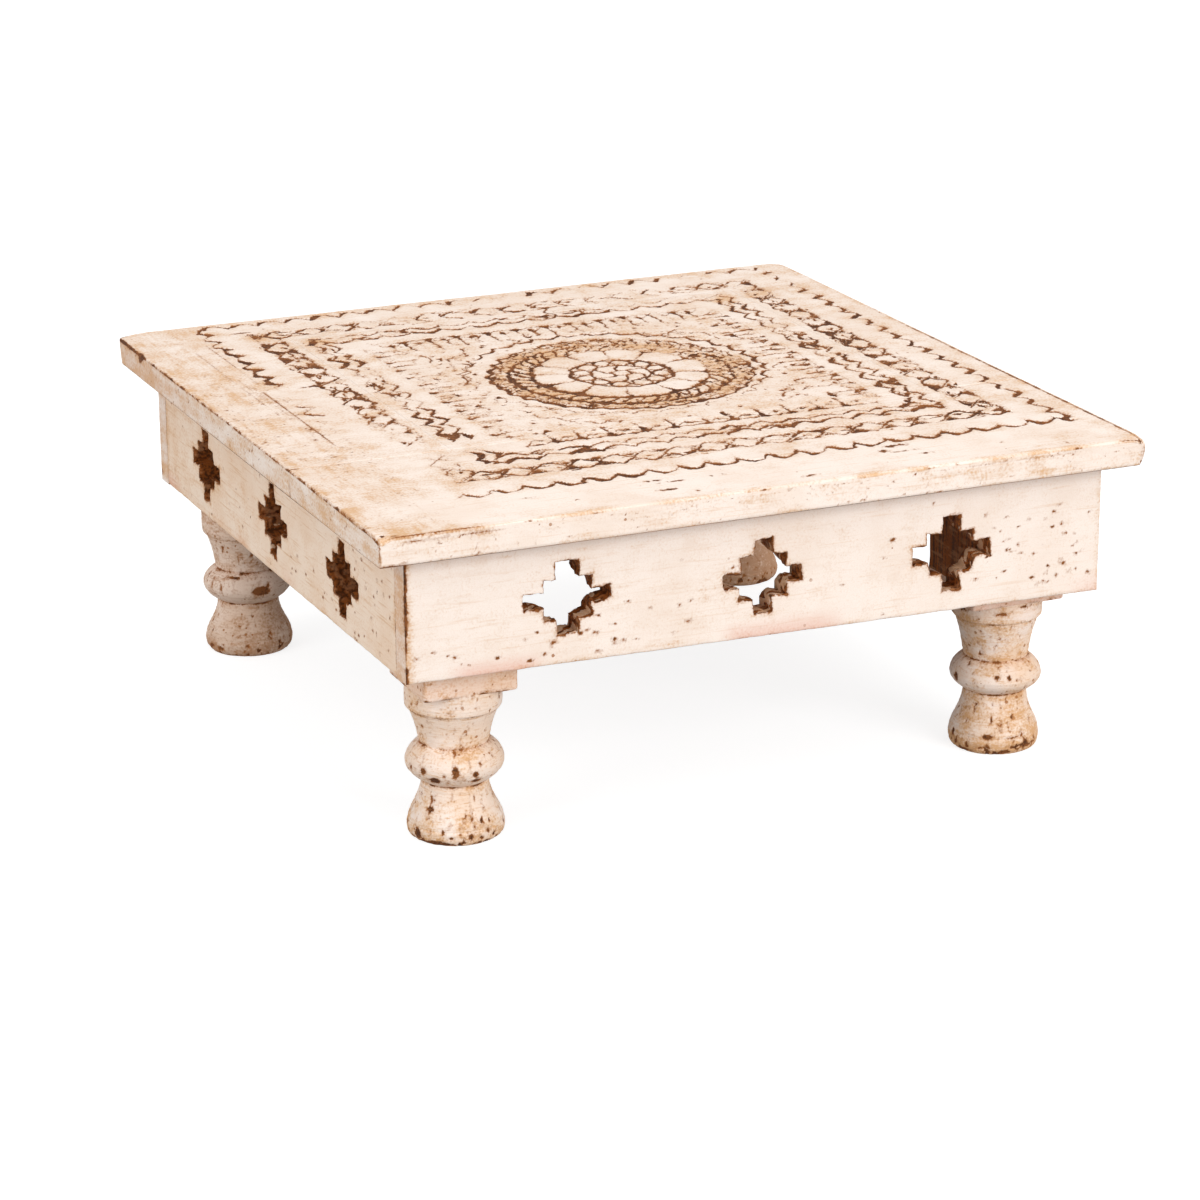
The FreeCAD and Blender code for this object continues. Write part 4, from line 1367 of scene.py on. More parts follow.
@dataclass
class ApronBoard:
    """One apron board, drawn flat with its show face up and stood up on its side of the table.

    turn is the side it stands on, in degrees from the front, and reach how far its show face is
    from the table's middle. sag tells how far its lower edge hangs down at its two ends. Each of
    the flakes is a cluster of chips: how many, its middle and half spread along and up the board,
    the chips' half height, and how their length is squashed to it. layers are the distances of
    the walls' points from the back, and table is how far the apron reaches along X and Y.
    """

    node: str
    turn: int
    half_length: float
    reach: float
    crosses: tuple
    seed: int
    sag: tuple
    butted: bool = False
    flakes: tuple = ((36, 0.0, 140.0, 24.0, 22.0, 0.34, 0.8),)
    height: float = 53.0
    thickness: float = 11.0
    bottom: float = 75.0
    cell: float = 0.85
    layers: tuple = (9.8, 8.4, 6.6, 4.6, 2.4, 0.15, 0.0)
    right_front_out: float = 1.6
    left_back_out: float = 0.5
    table: tuple = (304.0, 310.0)

    def rough(self, a: Array, b: Array, size: float, layer: int, octaves: int = 2) -> Array:
        """This board's own noise, in numbered layers."""
        return noise(a, b, size, self.seed + layer, octaves)

    def shell(self) -> Shell:
        """The board with its pierced crosses, their rims rubbed and their sawn walls left bare.

        Returns:
            The shell in the table's frame.
        """
        xs, ys = self.grid()
        a, b = np.meshgrid(xs, ys, indexing="ij")
        mid_a, mid_b = np.meshgrid((xs[:-1] + xs[1:]) / 2, (ys[:-1] + ys[1:]) / 2, indexing="ij")
        keep = np.all([cross.distance(mid_a, mid_b) > 0 for cross in self.crosses], axis=0)
        rim = np.clip(np.min([cross.distance(a, b) for cross in self.crosses], axis=0), 0, None)
        worn, tight = np.clip(0.4 + 0.6 * self.rough(a, b, 5, 4), 0, 1), self.rough(a, b, 3.0, 13)
        face = self.face(a, b, rim, worn)
        wall, wall_masks = self.walls(a, b, rim, face, worn, tight)
        shell = slab(keep, face, wall, self.face_masks(a, b, rim, worn, tight), wall_masks)
        shell.points = self.stand(shell.points)
        return shell

    @staticmethod
    def hand(rim: Array) -> Array:
        """How far the hand that sawed the crosses strays: 1 at a rim, fading away beside it."""
        return np.exp(-rim / 2.5)

    def edge(self, a: Array, b: Array) -> Array:
        """Distance to the nearest edge that shows: the lower one, and the ends unless butted."""
        return b if self.butted else np.minimum(self.half_length - np.abs(a), b)

    def face(self, a: Array, b: Array, rim: Array, worn: Array) -> Array:
        """The show face's points: crosses cut by hand, rubbed edges, a sagging lower edge.

        Args:
            a, b: places along and up the board.
            rim, worn: distance to the nearest cross, and how rubbed the edges are.
        Returns:
            The points, with their height over the board's back.
        """
        hand = self.hand(rim)
        sway_a = (0.75 * self.rough(a, b, 6, 0) + 0.4 * self.rough(a, b, 1.8, 1)) * hand
        sway_b = (0.75 * self.rough(a, b, 6, 2) + 0.4 * self.rough(a, b, 1.8, 3)) * hand
        hang = np.interp(a, (-self.half_length, self.half_length), self.sag) * smooth(12, 0, b)
        fall = round_off(rim, 0.3 + 0.35 * worn) + round_off(self.edge(a, b), 0.7 + 0.5 * worn)
        planed = 0.05 * np.abs(self.rough(a * 0.06, b, 1.3, 5)) + 0.06 * (1 + noise(a, b, 24, 9))
        w = self.thickness - fall - planed
        w -= 0.35 * smooth(0.45, 0.9, self.rough(a, b, 4.5, 12, 3)) * smooth(5, 0, rim)
        return np.stack([a + sway_a, b + sway_b - hang, w], -1)

    def face_masks(self, a: Array, b: Array, rim: Array, worn: Array, tight: Array) -> dict[str, Array]:
        """Paint masks of the show face: worn edges, corner lines, chips, dirt beside them, painted shade.

        Args:
            a, b, rim, worn: as for the face.
            tight: fine noise for ragged lines.
        Returns:
            The masks by name.
        """
        from_left, from_right = a + self.half_length, self.half_length - a
        from_end = np.minimum(from_left, from_right)
        cut_rim = 0.3 + 0.35 * tight + 0.5 * smooth(0.5, 1.0, worn) - rim
        worn_edge = 0.9 * worn + 0.5 * tight - 0.75 + 0.3 * self.butted - self.edge(a, b)
        if self.butted:
            line = 0.25 * worn + 0.5 * tight + 0.5 * smooth(30, 6, b) - from_right
        else:
            line = 0.2 + 0.8 * worn + 0.6 * tight - from_left
            line = line + 1.1 * smooth(36, 50, b) + 0.7 * smooth(8, 0, b)
        reach = union(cut_rim, worn_edge, line, self.flecks(a, b))

        grime_and_shade = 0.08 + 0.14 * self.rough(a, b, 18, 6) + 0.12 * self.rough(a * 0.12, b, 2.2, 14)
        grime_and_shade += 0.22 * smooth(3, 0, rim) + 0.3 * smooth(4, 0, from_end) + 0.25 * smooth(4, 0, b)
        # Painted shade: a brown band along the board's top edge, under the overhang of the top.
        grime_and_shade += 0.45 * smooth(self.height - 4, self.height - 0.5, b)
        grime_and_shade += 0.28 * smooth(10, -140, a) if self.butted else 0.35 * smooth(6, 0.5, from_left)
        blush = smooth(0.0, 0.7, self.rough(a, b * 0.6, 34, 7)) * smooth(9, 0, b) * 0.85
        return {"ink": signed(reach), "grime_and_shade": grime_and_shade, "bare": signed(0.1 * worn - rim), "blush": blush}

    def walls(
        self, a: Array, b: Array, rim: Array, face: Array, worn: Array, tight: Array,
    ) -> tuple[Array, dict[str, Array]]:
        """The sawn walls of the crosses and the board's edges, layer by layer down to the back.

        Args:
            a, b, rim, worn, tight: as for the face and its masks.
            face: the face's points.
        Returns:
            The points of the layers and their paint masks.
        """
        sawn, hand = rim < 0.01, self.hand(rim)
        wall, bare = [], []
        for depth in self.layers:
            saw_a = 0.35 * self.rough(a + depth * 2.3, b, 2.4, 8) * hand
            saw_b = 0.35 * self.rough(a, b + depth * 2.3, 2.4, 9) * hand
            out_a, out_b = self.undercut(face[..., 0], face[..., 1], (1 - depth / self.thickness) ** 1.8)
            shift = np.stack([saw_a + out_a, saw_b + out_b], -1) * sawn[..., None]
            height = np.minimum(depth, face[..., 2] - 0.1)[..., None]
            wall.append(np.concatenate((face[..., :2] + shift, height), -1))
            painted = 1.5 * self.rough(a + depth * 1.7, b - depth * 1.3, 3.2, 15) - 0.8 * smooth(28, 20, b)
            bare.append(np.where(sawn, signed(0.9 + painted + 1.2 * self.butted), float(depth < 0.1)))
        deep = self.thickness - np.array(self.layers)[:, None, None]
        chipped = 1.3 * worn + 0.6 * tight - 0.7 + 0.6 * smooth(40, 50, b) - 0.25 * deep
        flat = np.zeros(chipped.shape)
        grime_and_shade = flat + 0.62 + 0.35 * tight + 0.7 * sawn
        masks = {"ink": signed(chipped), "grime_and_shade": grime_and_shade, "bare": np.stack(bare), "blush": flat + 0.12}
        return np.stack(wall), masks

    def undercut(self, a: Array, b: Array, share: float) -> tuple[Array, Array]:
        """How far the sawn steps fall back towards a plain diamond at a share of the thickness.

        Args:
            a, b: places along and up the board.
            share: 0 at the show face and 1 at the back.
        Returns:
            The shifts along and up the board.
        """
        out_a, out_b = np.zeros(a.shape), np.zeros(a.shape)
        for cross in self.crosses:
            da, db = a - cross.along, b - cross.up
            diamond = np.abs(da) / (cross.wide / 2) + np.abs(db) / (cross.tall / 2)
            push = share * np.clip(0.98 - diamond, 0, None) * (np.abs(da) < cross.wide / 2)
            out_a, out_b = out_a + da * push, out_b + db * push
        return out_a, out_b

    def grid(self) -> tuple[Array, Array]:
        """Grid lines on every edge of the crosses and just beside them.

        Returns:
            The lines along the board and the lines up it.
        """
        along, up = {-self.half_length, self.half_length}, {0.0, self.height}
        for cross in self.crosses:
            for half_a, half_b in cross.boxes():
                for gap in (0.0, 0.35, 0.8):
                    along |= {cross.along - half_a - gap, cross.along + half_a + gap}
                    up |= {cross.up - half_b - gap, cross.up + half_b + gap}
        for edge in (0.3, 0.8, 1.4):
            along |= {edge - self.half_length, self.half_length - edge}
            up |= {edge}
        return self.spread(sorted(along)), self.spread(sorted(up))

    def spread(self, places: list[float], nearest: float = 0.12) -> Array:
        """Grid lines through the given places but not through two that are nearly one."""
        kept = [places[0]]
        for place in places[1:]:
            if place - kept[-1] > nearest:
                kept.append(place)
        return grid_lines(kept, [self.cell] * (len(kept) - 1))

    def flecks(self, a: Array, b: Array) -> Array:
        """Reach of the small chips of lost paint.

        Args:
            a, b: places along and up the board.
        Returns:
            Each point's reach.
        """
        rng = np.random.default_rng(self.seed + 40)
        torn = 0.45 * self.rough(a, b, 1.2, 41)
        reach = np.full(a.shape, NOWHERE)
        for count, middle, spread, up, rise, size, squash in self.flakes:
            for _ in range(count):
                along, high = middle + spread * rng.uniform(-1, 1), up + rise * rng.uniform(-1, 1)
                one = size * rng.uniform(0.7, 1.5) + torn - np.hypot((a - along) * squash, b - high)
                reach = union(reach, one)
        return reach

    def stand(self, points: Array) -> Array:
        """Turn flat (along, up, out) points to the table's frame: front, right, back or left.

        The boards meet a little out of square: the front right corner stands out to the right,
        and the back left one to the left, blended over the table's width and depth.

        Args:
            points: one row a point.
        Returns:
            The same rows in the table's frame.
        """
        along, up, out = points.T
        out = out + self.reach - self.thickness
        x, y = {0: (along, -out), 90: (out, along), 180: (-along, out), 270: (-out, -along)}[self.turn]
        right, back = (np.clip(place / span + 0.5, 0, 1) for place, span in zip((x, y), self.table))
        x = x + self.right_front_out * right * (1 - back) - self.left_back_out * (1 - right) * back
        return np.stack([x, y, up + self.bottom], 1)

    def build(self, paint: bpy.types.Material) -> None:
        """Make the board in place of its CAD node."""
        dress(self.shell().write(f"{self.node}_pierced", paint), self.node)


# The legs

# Heights of a leg's floor, foot, neck, bulb, crease, collar and head, as most came off the lathe
STRAIGHT = (0.0, 3.8, 23.2, 31.4, 39.4, 53.9, 64.0)


@dataclass
class Leg:
    """One leg: a square block with a turned foot below it.

    profile holds the turned part's heights and radii. turning gives the heights at which this
    leg's floor, foot, neck, bulb, crease, collar and head came out on the lathe, for the heights
    in marks. off tells how far the turned part stands off the block's middle, girth its
    thickness, and step how far the block's foot stands out to the right. Each of the spots is one
    chip: its direction in degrees, height, half width and half height. grime_and_shade is the wash
    over the whole leg, on the back right one mostly painted shade. foot_dirt_and_shade is added to the
    wash of the foot and to its blush: ochre dirt on the front right leg, painted shade on the back ones.
    """

    node: str
    x: float
    y: float
    seed: int
    turning: tuple
    grime_and_shade: float
    off: tuple = (0.0, 0.0)
    spots: tuple = ()
    foot_dirt_and_shade: float = 0.0
    girth: float = 1.0
    step: float = 0.0
    block_low: float = 64.0
    half: float = 20.0
    rounding: float = 1.4
    top: float = 128.0
    hidden_above: float = 75.0
    sides: int = 144
    block_side: int = 26
    marks: tuple = (0.0, 5.0, 21.3, 31.8, 41.2, 53.9, 64.0)
    profile: tuple = (
        (0.0, 17.6), (0.7, 18.5), (2.3, 19.3), (4.6, 19.6), (6.3, 19.6), (7.1, 19.2), (8.2, 19.0),
        (10.0, 18.2), (12.6, 16.6), (15.1, 15.2), (17.7, 14.15), (19.6, 13.7), (20.8, 13.4),
        (21.3, 13.35), (21.9, 13.9), (23.0, 15.2), (24.8, 17.0), (27.0, 18.5), (29.2, 19.45),
        (31.8, 19.8), (34.8, 19.2), (37.0, 18.1), (38.8, 16.7), (40.1, 15.3), (40.9, 14.2),
        (41.2, 13.85), (41.8, 14.05), (44.0, 14.6), (47.0, 15.35), (49.6, 16.2), (52.0, 17.2),
        (53.2, 17.7), (53.8, 17.85), (54.1, 18.9), (54.9, 19.4), (56.4, 19.6), (58.5, 19.65),
        (61.0, 19.6), (64.0, 19.6),
    )

    def rough(self, turn: Array, z: Array, size: float, layer: int, octaves: int = 2) -> Array:
        """This leg's own noise, in numbered layers: seen from front and back, and from the sides.

        The two patterns are blended where the surface turns from one to the other.
        """
        facing = smooth(0.3, 0.7, np.sin(turn) ** 2)
        seed, radius = self.seed + layer, 19
        front = noise(radius * np.cos(turn) + 97 * np.sign(np.sin(turn)), z, size, seed, octaves)
        side = noise(radius * np.sin(turn) + 61 * np.sign(np.cos(turn)), z, size, seed + 1, octaves)
        return facing * front + (1 - facing) * side

    def curve(self) -> Array:
        """The profile at this leg's heights, smoothed by a Catmull-Rom curve of six steps a knot.

        Returns:
            A row of height and radius for each step.
        """
        knots = np.array(self.profile)
        knots[:, 0] = np.interp(knots[:, 0], self.marks, self.turning)
        padded = np.vstack((2 * knots[0] - knots[1], knots, 2 * knots[-1] - knots[-2]))
        u = np.linspace(0, 1, 6, endpoint=False)[None, :, None]
        p0, p1, p2, p3 = (padded[k:len(padded) - 3 + k, None, :] for k in range(4))
        square, cube = 2 * p0 - 5 * p1 + 4 * p2 - p3, 3 * p1 - p0 - 3 * p2 + p3
        curve = 0.5 * (2 * p1 + (p2 - p0) * u + square * u ** 2 + cube * u ** 3)
        return np.vstack((curve.reshape(-1, 2), knots[-1:]))

    def turned(self) -> Shell:
        """The turned part: the curve swept round the axis.

        Radius r(z, angle) = curve(z) + fine tool rings + a slight out-of-round - chips.

        Returns:
            Its shell.
        """
        curve = self.curve()
        angles = np.linspace(0, 2 * math.pi, self.sides, endpoint=False)
        z, turn = np.meshgrid(curve[:, 0], angles, indexing="ij")
        chips = self.chips(turn, z)
        rings = 0.07 * np.sin(z * 5.2 + np.sin(z * 1.7) * 2) * smooth(2, 4, z) * smooth(63, 60, z)
        r = np.repeat(curve[:, 1:], self.sides, 1) * self.girth + 0.25 * self.rough(turn, z, 14, 0)
        r = r + rings - 0.35 * smooth(-0.4, 0.5, chips)
        x, y = self.x + self.off[0], self.y + self.off[1]
        rows = np.stack([x + r * np.cos(turn), y + r * np.sin(turn), z], -1)
        return lathed(rows, self.turned_masks(turn, z, chips), (1.0, 0.0))

    def turned_masks(self, turn: Array, z: Array, chips: Array) -> dict[str, Array]:
        """Paint masks: dark wax in creases, lost paint, ochre in hollows and low down, some painted shade.

        Args:
            turn, z, chips: each point's direction, height and reach of the chips.
        Returns:
            The masks by name.
        """
        neck, bulb, crease, collar, head = self.turning[2:]
        reach, waxed = chips, 0.45 * self.rough(turn, z, 4, 7)
        for place, width in ((neck, 0.2), (crease, 0.12), (collar, 0.0)):
            reach = union(reach, width + waxed - 0.75 * np.abs(z - place))
        grime_and_shade = self.grime_and_shade + 0.28 * self.rough(turn, z, 7, 8) + 0.2 * self.rough(turn, z * 4, 5, 9)
        dirt = 0.38 + 0.2 * self.rough(turn, z, 5, 10)
        for place, spread in ((2.0, 4.0), (neck - 1, 2.5), (crease + 1.5, 2.5), (collar, 2.0), (head, 4.0)):
            grime_and_shade += dirt * bell(z, place, spread)
        # More wash low down: ochre dirt on every foot, plus foot_dirt_and_shade, which on the back legs is
        # painted shade.
        grime_and_shade += (0.16 + 2 * self.foot_dirt_and_shade) * smooth(21, 16, z) - 0.16 * bell(z, bulb, 4)
        blank = np.zeros(z.shape)
        return {"ink": signed(reach), "grime_and_shade": grime_and_shade, "bare": blank, "blush": blank + 0.12 + self.foot_dirt_and_shade}

    def chips(self, turn: Array, z: Array) -> Array:
        """Reach of the chips: the spots, and noise over a limit that falls at the foot.

        Args:
            turn, z: each point's direction and height.
        Returns:
            Each point's reach.
        """
        limit = 1.12 - 0.75 * bell(z, 1.0, 1.4) - 0.1 * smooth(14, 8, z) + 0.4 * smooth(42, 52, z)
        if not self.spots:
            limit = limit - 0.65 * bell(z, 28.6, 2.6)
        large = 1.9 * (self.rough(turn, z * 0.8, 3.4, 5, 3) - limit)
        small = 1.2 * (self.rough(turn, z * 0.6, 1.5, 6) - 0.92 + 0.5 * smooth(8, 2, z))
        reach, torn = union(large, small), 0.3 * self.rough(turn, z, 1.8, 3)
        for degrees, height, wide, tall in self.spots:
            apart = (turn - math.radians(degrees) + math.pi) % (2 * math.pi) - math.pi
            far = np.hypot(apart * 18 / wide, (z - height) / tall)
            reach = union(reach, (1 - far) * min(wide, tall) + torn)
        return reach

    def block_loop(self) -> Array:
        """The block's outline, anticlockwise: a square with rounded corners, its points crowded there.

        Returns:
            A row of X and Y for each point.
        """
        line, one = np.linspace(-1, 1, self.block_side, endpoint=False), np.ones(self.block_side)
        runs = ((line, -one), (one, line), (-line, one), (-one, -line))
        square = np.vstack([np.stack(run, 1) for run in runs])
        flat = np.sign(square) * (1 - (1 - np.abs(square)) ** 1.6) * self.half
        corner = np.clip(np.abs(flat) - (self.half - self.rounding), 0, None)
        length = np.hypot(*corner.T)
        squeeze = np.where(length > self.rounding, self.rounding / np.maximum(length, 1e-6), 1.0)
        return np.sign(flat) * (np.abs(flat) - corner + corner * squeeze[:, None])

    def block(self) -> Shell:
        """The square block: its loop stacked up, eased at the bottom, painted only below the apron.

        Returns:
            Its shell.
        """
        flat = self.block_loop()
        eased = np.array([(0.0, 6.0), (0.0, 0.75), (0.15, 0.3), (0.6, 0.0)])
        heights = np.concatenate((
            self.block_low + eased[:, 0],
            np.linspace(self.block_low + 1.4, self.hidden_above + 2, 16), np.linspace(80, self.top, 14),
        ))
        inset = np.concatenate((eased[:, 1], np.zeros(len(heights) - len(eased))))[:, None]
        z = heights[:, None] + np.zeros(len(flat))
        a, b = (flat[None, :, axis] + 0 * z for axis in (0, 1))
        planed = 0.25 + 0.16 * noise(a + z, b - z, 8, self.seed + 11)
        shrink = (1 - inset / self.half) * (1 - planed / self.half)
        hidden = z > self.hidden_above - 0.2
        out = self.step * ~hidden * smooth(0, self.half, a)
        rows = np.stack([self.x + a * shrink + out, self.y + b * shrink, z], -1)
        corners = self.half * 2 - 1 - np.abs(a) - np.abs(b)
        rag = noise(a * 1.3, b * 1.3 + z, 4, self.seed + 12, 3)
        reach = union(rag - 0.4 - np.clip(corners, 0, -NOWHERE), 0.8 * rag - 0.1 - 0.6 * (z - self.block_low))
        blank = np.zeros(z.shape)
        masks = {
            "ink": signed(reach), "grime_and_shade": blank + 0.35, "blush": blank + 0.35 + 0.3 * (self.step > 0),
            "bare": hidden + blank,
        }
        return lathed(rows, masks, (0.0, 1.0))

    def build(self, paint: bpy.types.Material) -> None:
        """Make the leg in place of its CAD node."""
        dress((self.turned() + self.block()).write(f"{self.node}_turned", paint), self.node)


def dress(piece: bpy.types.Object, node: str) -> None:
    """Tie a new piece to the table's body, and hide the CAD node that it stands for."""
    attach(piece, "root")
    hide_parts(node)
    log.info("%s: %d faces, for %s", piece.name, len(piece.data.polygons), node)


# Nails

@dataclass
class TopNails:
    """The eight nails through the top, punched down under the carving."""

    leg_x: float = 121.0
    leg_y: float = 124.0
    offset: float = 12.5
    head: float = 136.9
    length: float = 24.0
    point: float = 3.0
    half_head: float = 2.0
    head_thick: float = 0.9
    half_shank: float = 0.9
    half_point: float = 0.3

    def nail(self, x: float, y: float) -> Shell:
        """One nail: square loops of a head and a shank that tapers to a blunt point.

        Args:
            x, y: the nail's place.
        Returns:
            Its shell.
        """
        loops = (
            (self.half_head, 0.0), (self.half_head, -self.head_thick), (self.half_shank, -self.head_thick),
            (self.half_shank, self.point - self.length), (self.half_point, -self.length),
        )
        square = np.array(CORNERS)
        points = np.vstack([
            np.column_stack((square * half + (x, y), np.full(4, self.head + z))) for half, z in loops
        ])
        k, j = np.meshgrid(np.arange(len(loops) - 1), np.arange(4), indexing="ij")
        nxt = (j + 1) % 4
        quads = np.stack([k * 4 + j, (k + 1) * 4 + j, (k + 1) * 4 + nxt, k * 4 + nxt], -1).reshape(-1, 4)
        last = 4 * (len(loops) - 1)
        caps = np.array([[0, 1, 2, 3], [last + 3, last + 2, last + 1, last]])
        return Shell(points, [quads, caps], {})

    def build(self, iron: bpy.types.Material) -> None:
        """Make all eight as one piece, two to a leg on one diagonal.

        Args:
            iron: the nails' material.
        """
        shell = None
        for side, end in CORNERS:
            for step in (-self.offset, self.offset):
                one = self.nail(side * self.leg_x + step, end * self.leg_y + step)
                shell = one if shell is None else shell + one
        piece = shell.write("top_nails_punched", iron)
        piece.data.shade_flat()
        dress(piece, "top_nails")


# The studio

@dataclass
class Studio:
    """Camera, lamps, pale floor and white surroundings.

    The camera's angles are in degrees, its focal length and the picture's middle in the pixels of
    a square picture, and its eye in millimetres. Each lamp is a name, a place, a size and a power.
    The lamps, the floor and the aim are in metres and watts.
    """

    yaw: float = -23.933
    pitch: float = 19.398
    roll: float = -0.171
    focal_pixels: float = 3888.63
    middle: tuple = (630.98, 652.34)
    eye: tuple = (-642.69, -1472.59, 583.55)
    picture: int = 1200
    sensor: float = 36.0
    aim: tuple = (0.0, 0.0, 0.08)
    lamps: tuple = (
        ("key", (0.9, -2.6, 1.1), 1.6, 48), ("fill", (-2.6, -0.7, 1.1), 1.8, 29),
        ("overhead", (0.3, -0.1, 2.5), 1.4, 14),
    )
    surround: float = 0.55
    floor_glow: float = 0.82
    floor_grey: tuple = (0.4, 0.4, 0.4, 1)
    white: tuple = (1, 1, 1, 1)
    floor_half: float = 12.0

    def camera(self) -> None:
        """Place the camera from its measured yaw, pitch and roll, with the picture's small shift."""
        yaw, pitch, roll = (math.radians(value) for value in (self.yaw, self.pitch, self.roll))
        look = Vector((-math.sin(yaw) * math.cos(pitch), math.cos(yaw) * math.cos(pitch), -math.sin(pitch)))
        right = look.cross(Vector((0, 0, 1))).normalized()
        up = right.cross(look)
        turned_right = right * math.cos(roll) + up * math.sin(roll)
        turned_up = up * math.cos(roll) - right * math.sin(roll)
        data = bpy.data.cameras.new("camera")
        data.sensor_width = self.sensor
        data.lens = self.focal_pixels / self.picture * self.sensor
        data.shift_x = -(self.middle[0] - self.picture / 2) / self.picture
        data.shift_y = (self.middle[1] - self.picture / 2) / self.picture
        data.clip_end = 50
        camera = bpy.data.objects.new("camera", data)
        axes = Matrix((turned_right, turned_up, -look)).transposed().to_4x4()
        camera.matrix_world = Matrix.Translation(Vector(self.eye) * MM) @ axes
        bpy.context.scene.collection.objects.link(camera)
        bpy.context.scene.camera = camera

    def lamp(self, name: str, place: tuple, size: float, power: float) -> None:
        """Hang one square softbox, aimed at the middle of the table."""
        data = bpy.data.lights.new(name, "AREA")
        data.size = size
        data.energy = power
        lamp = bpy.data.objects.new(name, data)
        lamp.location = place
        lamp.rotation_euler = (Vector(self.aim) - Vector(place)).to_track_quat("-Z", "Y").to_euler()
        bpy.context.scene.collection.objects.link(lamp)

    def world(self) -> None:
        """Even light from all round, and plain white where the camera or a reflection sees it."""
        world = bpy.data.worlds.new("studio")
        world.use_nodes = True
        graph = Graph(world.node_tree)
        strength = self.surround + (1 - self.surround) * self.seen(graph)
        back = graph.node("ShaderNodeBackground", sockets={"Color": self.white, "Strength": strength})
        graph.node("ShaderNodeOutputWorld", sockets={"Surface": back})
        bpy.context.scene.world = world

    @staticmethod
    def seen(graph: Graph) -> Value:
        """1 where the camera, a mirror or clear glass looks."""
        kinds = ("Camera", "Glossy", "Transmission")
        camera, mirror, glass = (graph.node("ShaderNodeLightPath", output=f"Is {kind} Ray") for kind in kinds)
        return camera.most(mirror).most(glass)

    def floor(self) -> None:
        """A pale floor that reads as white and keeps a faint shadow."""
        mesh = bpy.data.meshes.new("floor")
        corners = [(x * self.floor_half, y * self.floor_half, 0) for x, y in CORNERS]
        mesh.from_pydata(corners, [], [(0, 1, 2, 3)])
        floor = bpy.data.objects.new("floor", mesh)
        bpy.context.scene.collection.objects.link(floor)
        material, graph = new_material("pale_floor")
        chalk = graph.node("ShaderNodeBsdfDiffuse", sockets={"Color": self.floor_grey})
        strength = self.floor_glow * self.seen(graph)
        glow = graph.node("ShaderNodeEmission", sockets={"Color": self.white, "Strength": strength})
        both = graph.node("ShaderNodeAddShader", sockets={0: chalk, 1: glow})
        graph.node("ShaderNodeOutputMaterial", sockets={"Surface": both})
        mesh.materials.append(material)

    def build(self) -> None:
        """Set up everything that isn't the table."""
        self.camera()
        for name, place, size, power in self.lamps:
            self.lamp(name, place, size, power)
        self.world()
        self.floor()
        bpy.context.scene.view_settings.view_transform = "Standard"


# The table

def apron_boards() -> tuple[ApronBoard, ...]:
    """The apron's four boards, from the front one round by the right.

    Returns:
        The boards, each with its crosses and flakes.
    """
    front_row = (
        Cross(-85.1, 27.0, tall=30, step_wide=20, step_tall=17.2, arm_wide=9, arm_tall=6),
        Cross(-1.3, 24.2, wide=34, tall=30.4, step_tall=17.6),
        Cross(82.8, 23.3, tall=31, step_tall=17.6),
    )
    left_row = tuple(Cross(along, 23) for along in (-88, 0, 84))
    back_row = tuple(Cross(along, 25) for along in (-84, 0, 84))
    right_row = tuple(Cross(along, 25) for along in (-87, 0, 87))
    front_flakes = (
        (20, -104, 44, 9, 6, 0.46, 0.6), (12, -58, 26, 16, 10, 0.42, 0.6),
        (46, 124, 26, 22, 17, 0.33, 0.7), (14, 20, 110, 26, 24, 0.32, 0.6),
    )
    left_flakes = (
        (34, 116, 26, 24, 20, 0.42, 0.9), (20, 62, 40, 9, 8, 0.34, 0.6), (26, -60, 80, 24, 22, 0.3, 0.8),
    )
    return (
        ApronBoard("front_apron", 0, 152, 155, front_row, 101, (-1.1, 2.7), flakes=front_flakes),
        ApronBoard("right_apron", 90, 144, 152, right_row, 201, (2.7, 0.0), butted=True),
        ApronBoard("back_apron", 180, 152, 155, back_row, 301, (0.0, 1.0)),
        ApronBoard("left_apron", 270, 144, 152, left_row, 401, (1.0, -1.1), butted=True, flakes=left_flakes),
    )


def front_legs() -> tuple[Leg, ...]:
    """The two front legs, which the lathe and the years treated differently.

    Returns:
        The left one and the right one.
    """
    left_spots = (
        (210, 31.2, 1.3, 1.7), (223, 27.6, 2.7, 1.4), (250, 31.8, 1.4, 2.9), (274, 30.2, 1.2, 1.3),
        (276, 27.0, 1.9, 0.9), (188, 31.0, 0.9, 1.6), (281, 34.3, 0.7, 0.8), (198, 3.6, 1.8, 2.6),
        (233, 6.0, 0.6, 1.1), (243, 3.8, 1.4, 0.7), (267, 4.1, 0.8, 1.5), (281, 3.0, 1.2, 0.9),
        (290, 5.2, 0.7, 1.0), (271, 15.5, 0.5, 1.5), (271, 10.5, 0.6, 1.4),
    )
    right_spots = (
        (181, 31.6, 1.7, 1.9), (243, 34.7, 1.3, 1.0), (260, 34.4, 0.9, 1.2), (271, 33.2, 0.5, 0.5),
        (237, 14.2, 0.5, 1.8), (252, 13.2, 0.5, 1.0), (270, 15.6, 0.7, 0.8), (175, 6.6, 1.2, 1.7),
        (232, 8.0, 2.4, 1.2), (267, 7.4, 2.0, 0.5), (268, 3.2, 1.7, 0.9), (190, 63.2, 3.0, 1.0),
        (246, 62.6, 2.0, 0.7), (280, 65.2, 2.2, 0.5),
    )
    raised = (0.0, 4.2, 25.0, 32.0, 39.8, 57.6, 70.0)
    return (
        Leg("front_left_leg", -121, -124, 500, STRAIGHT, 0.1, spots=left_spots, block_low=63.2),
        Leg(
            "front_right_leg", 121, -124, 520, raised, 0.28, (2.6, 0.0), right_spots,
            foot_dirt_and_shade=0.05, girth=0.97, step=3.5, block_low=66.6,
        ),
    )


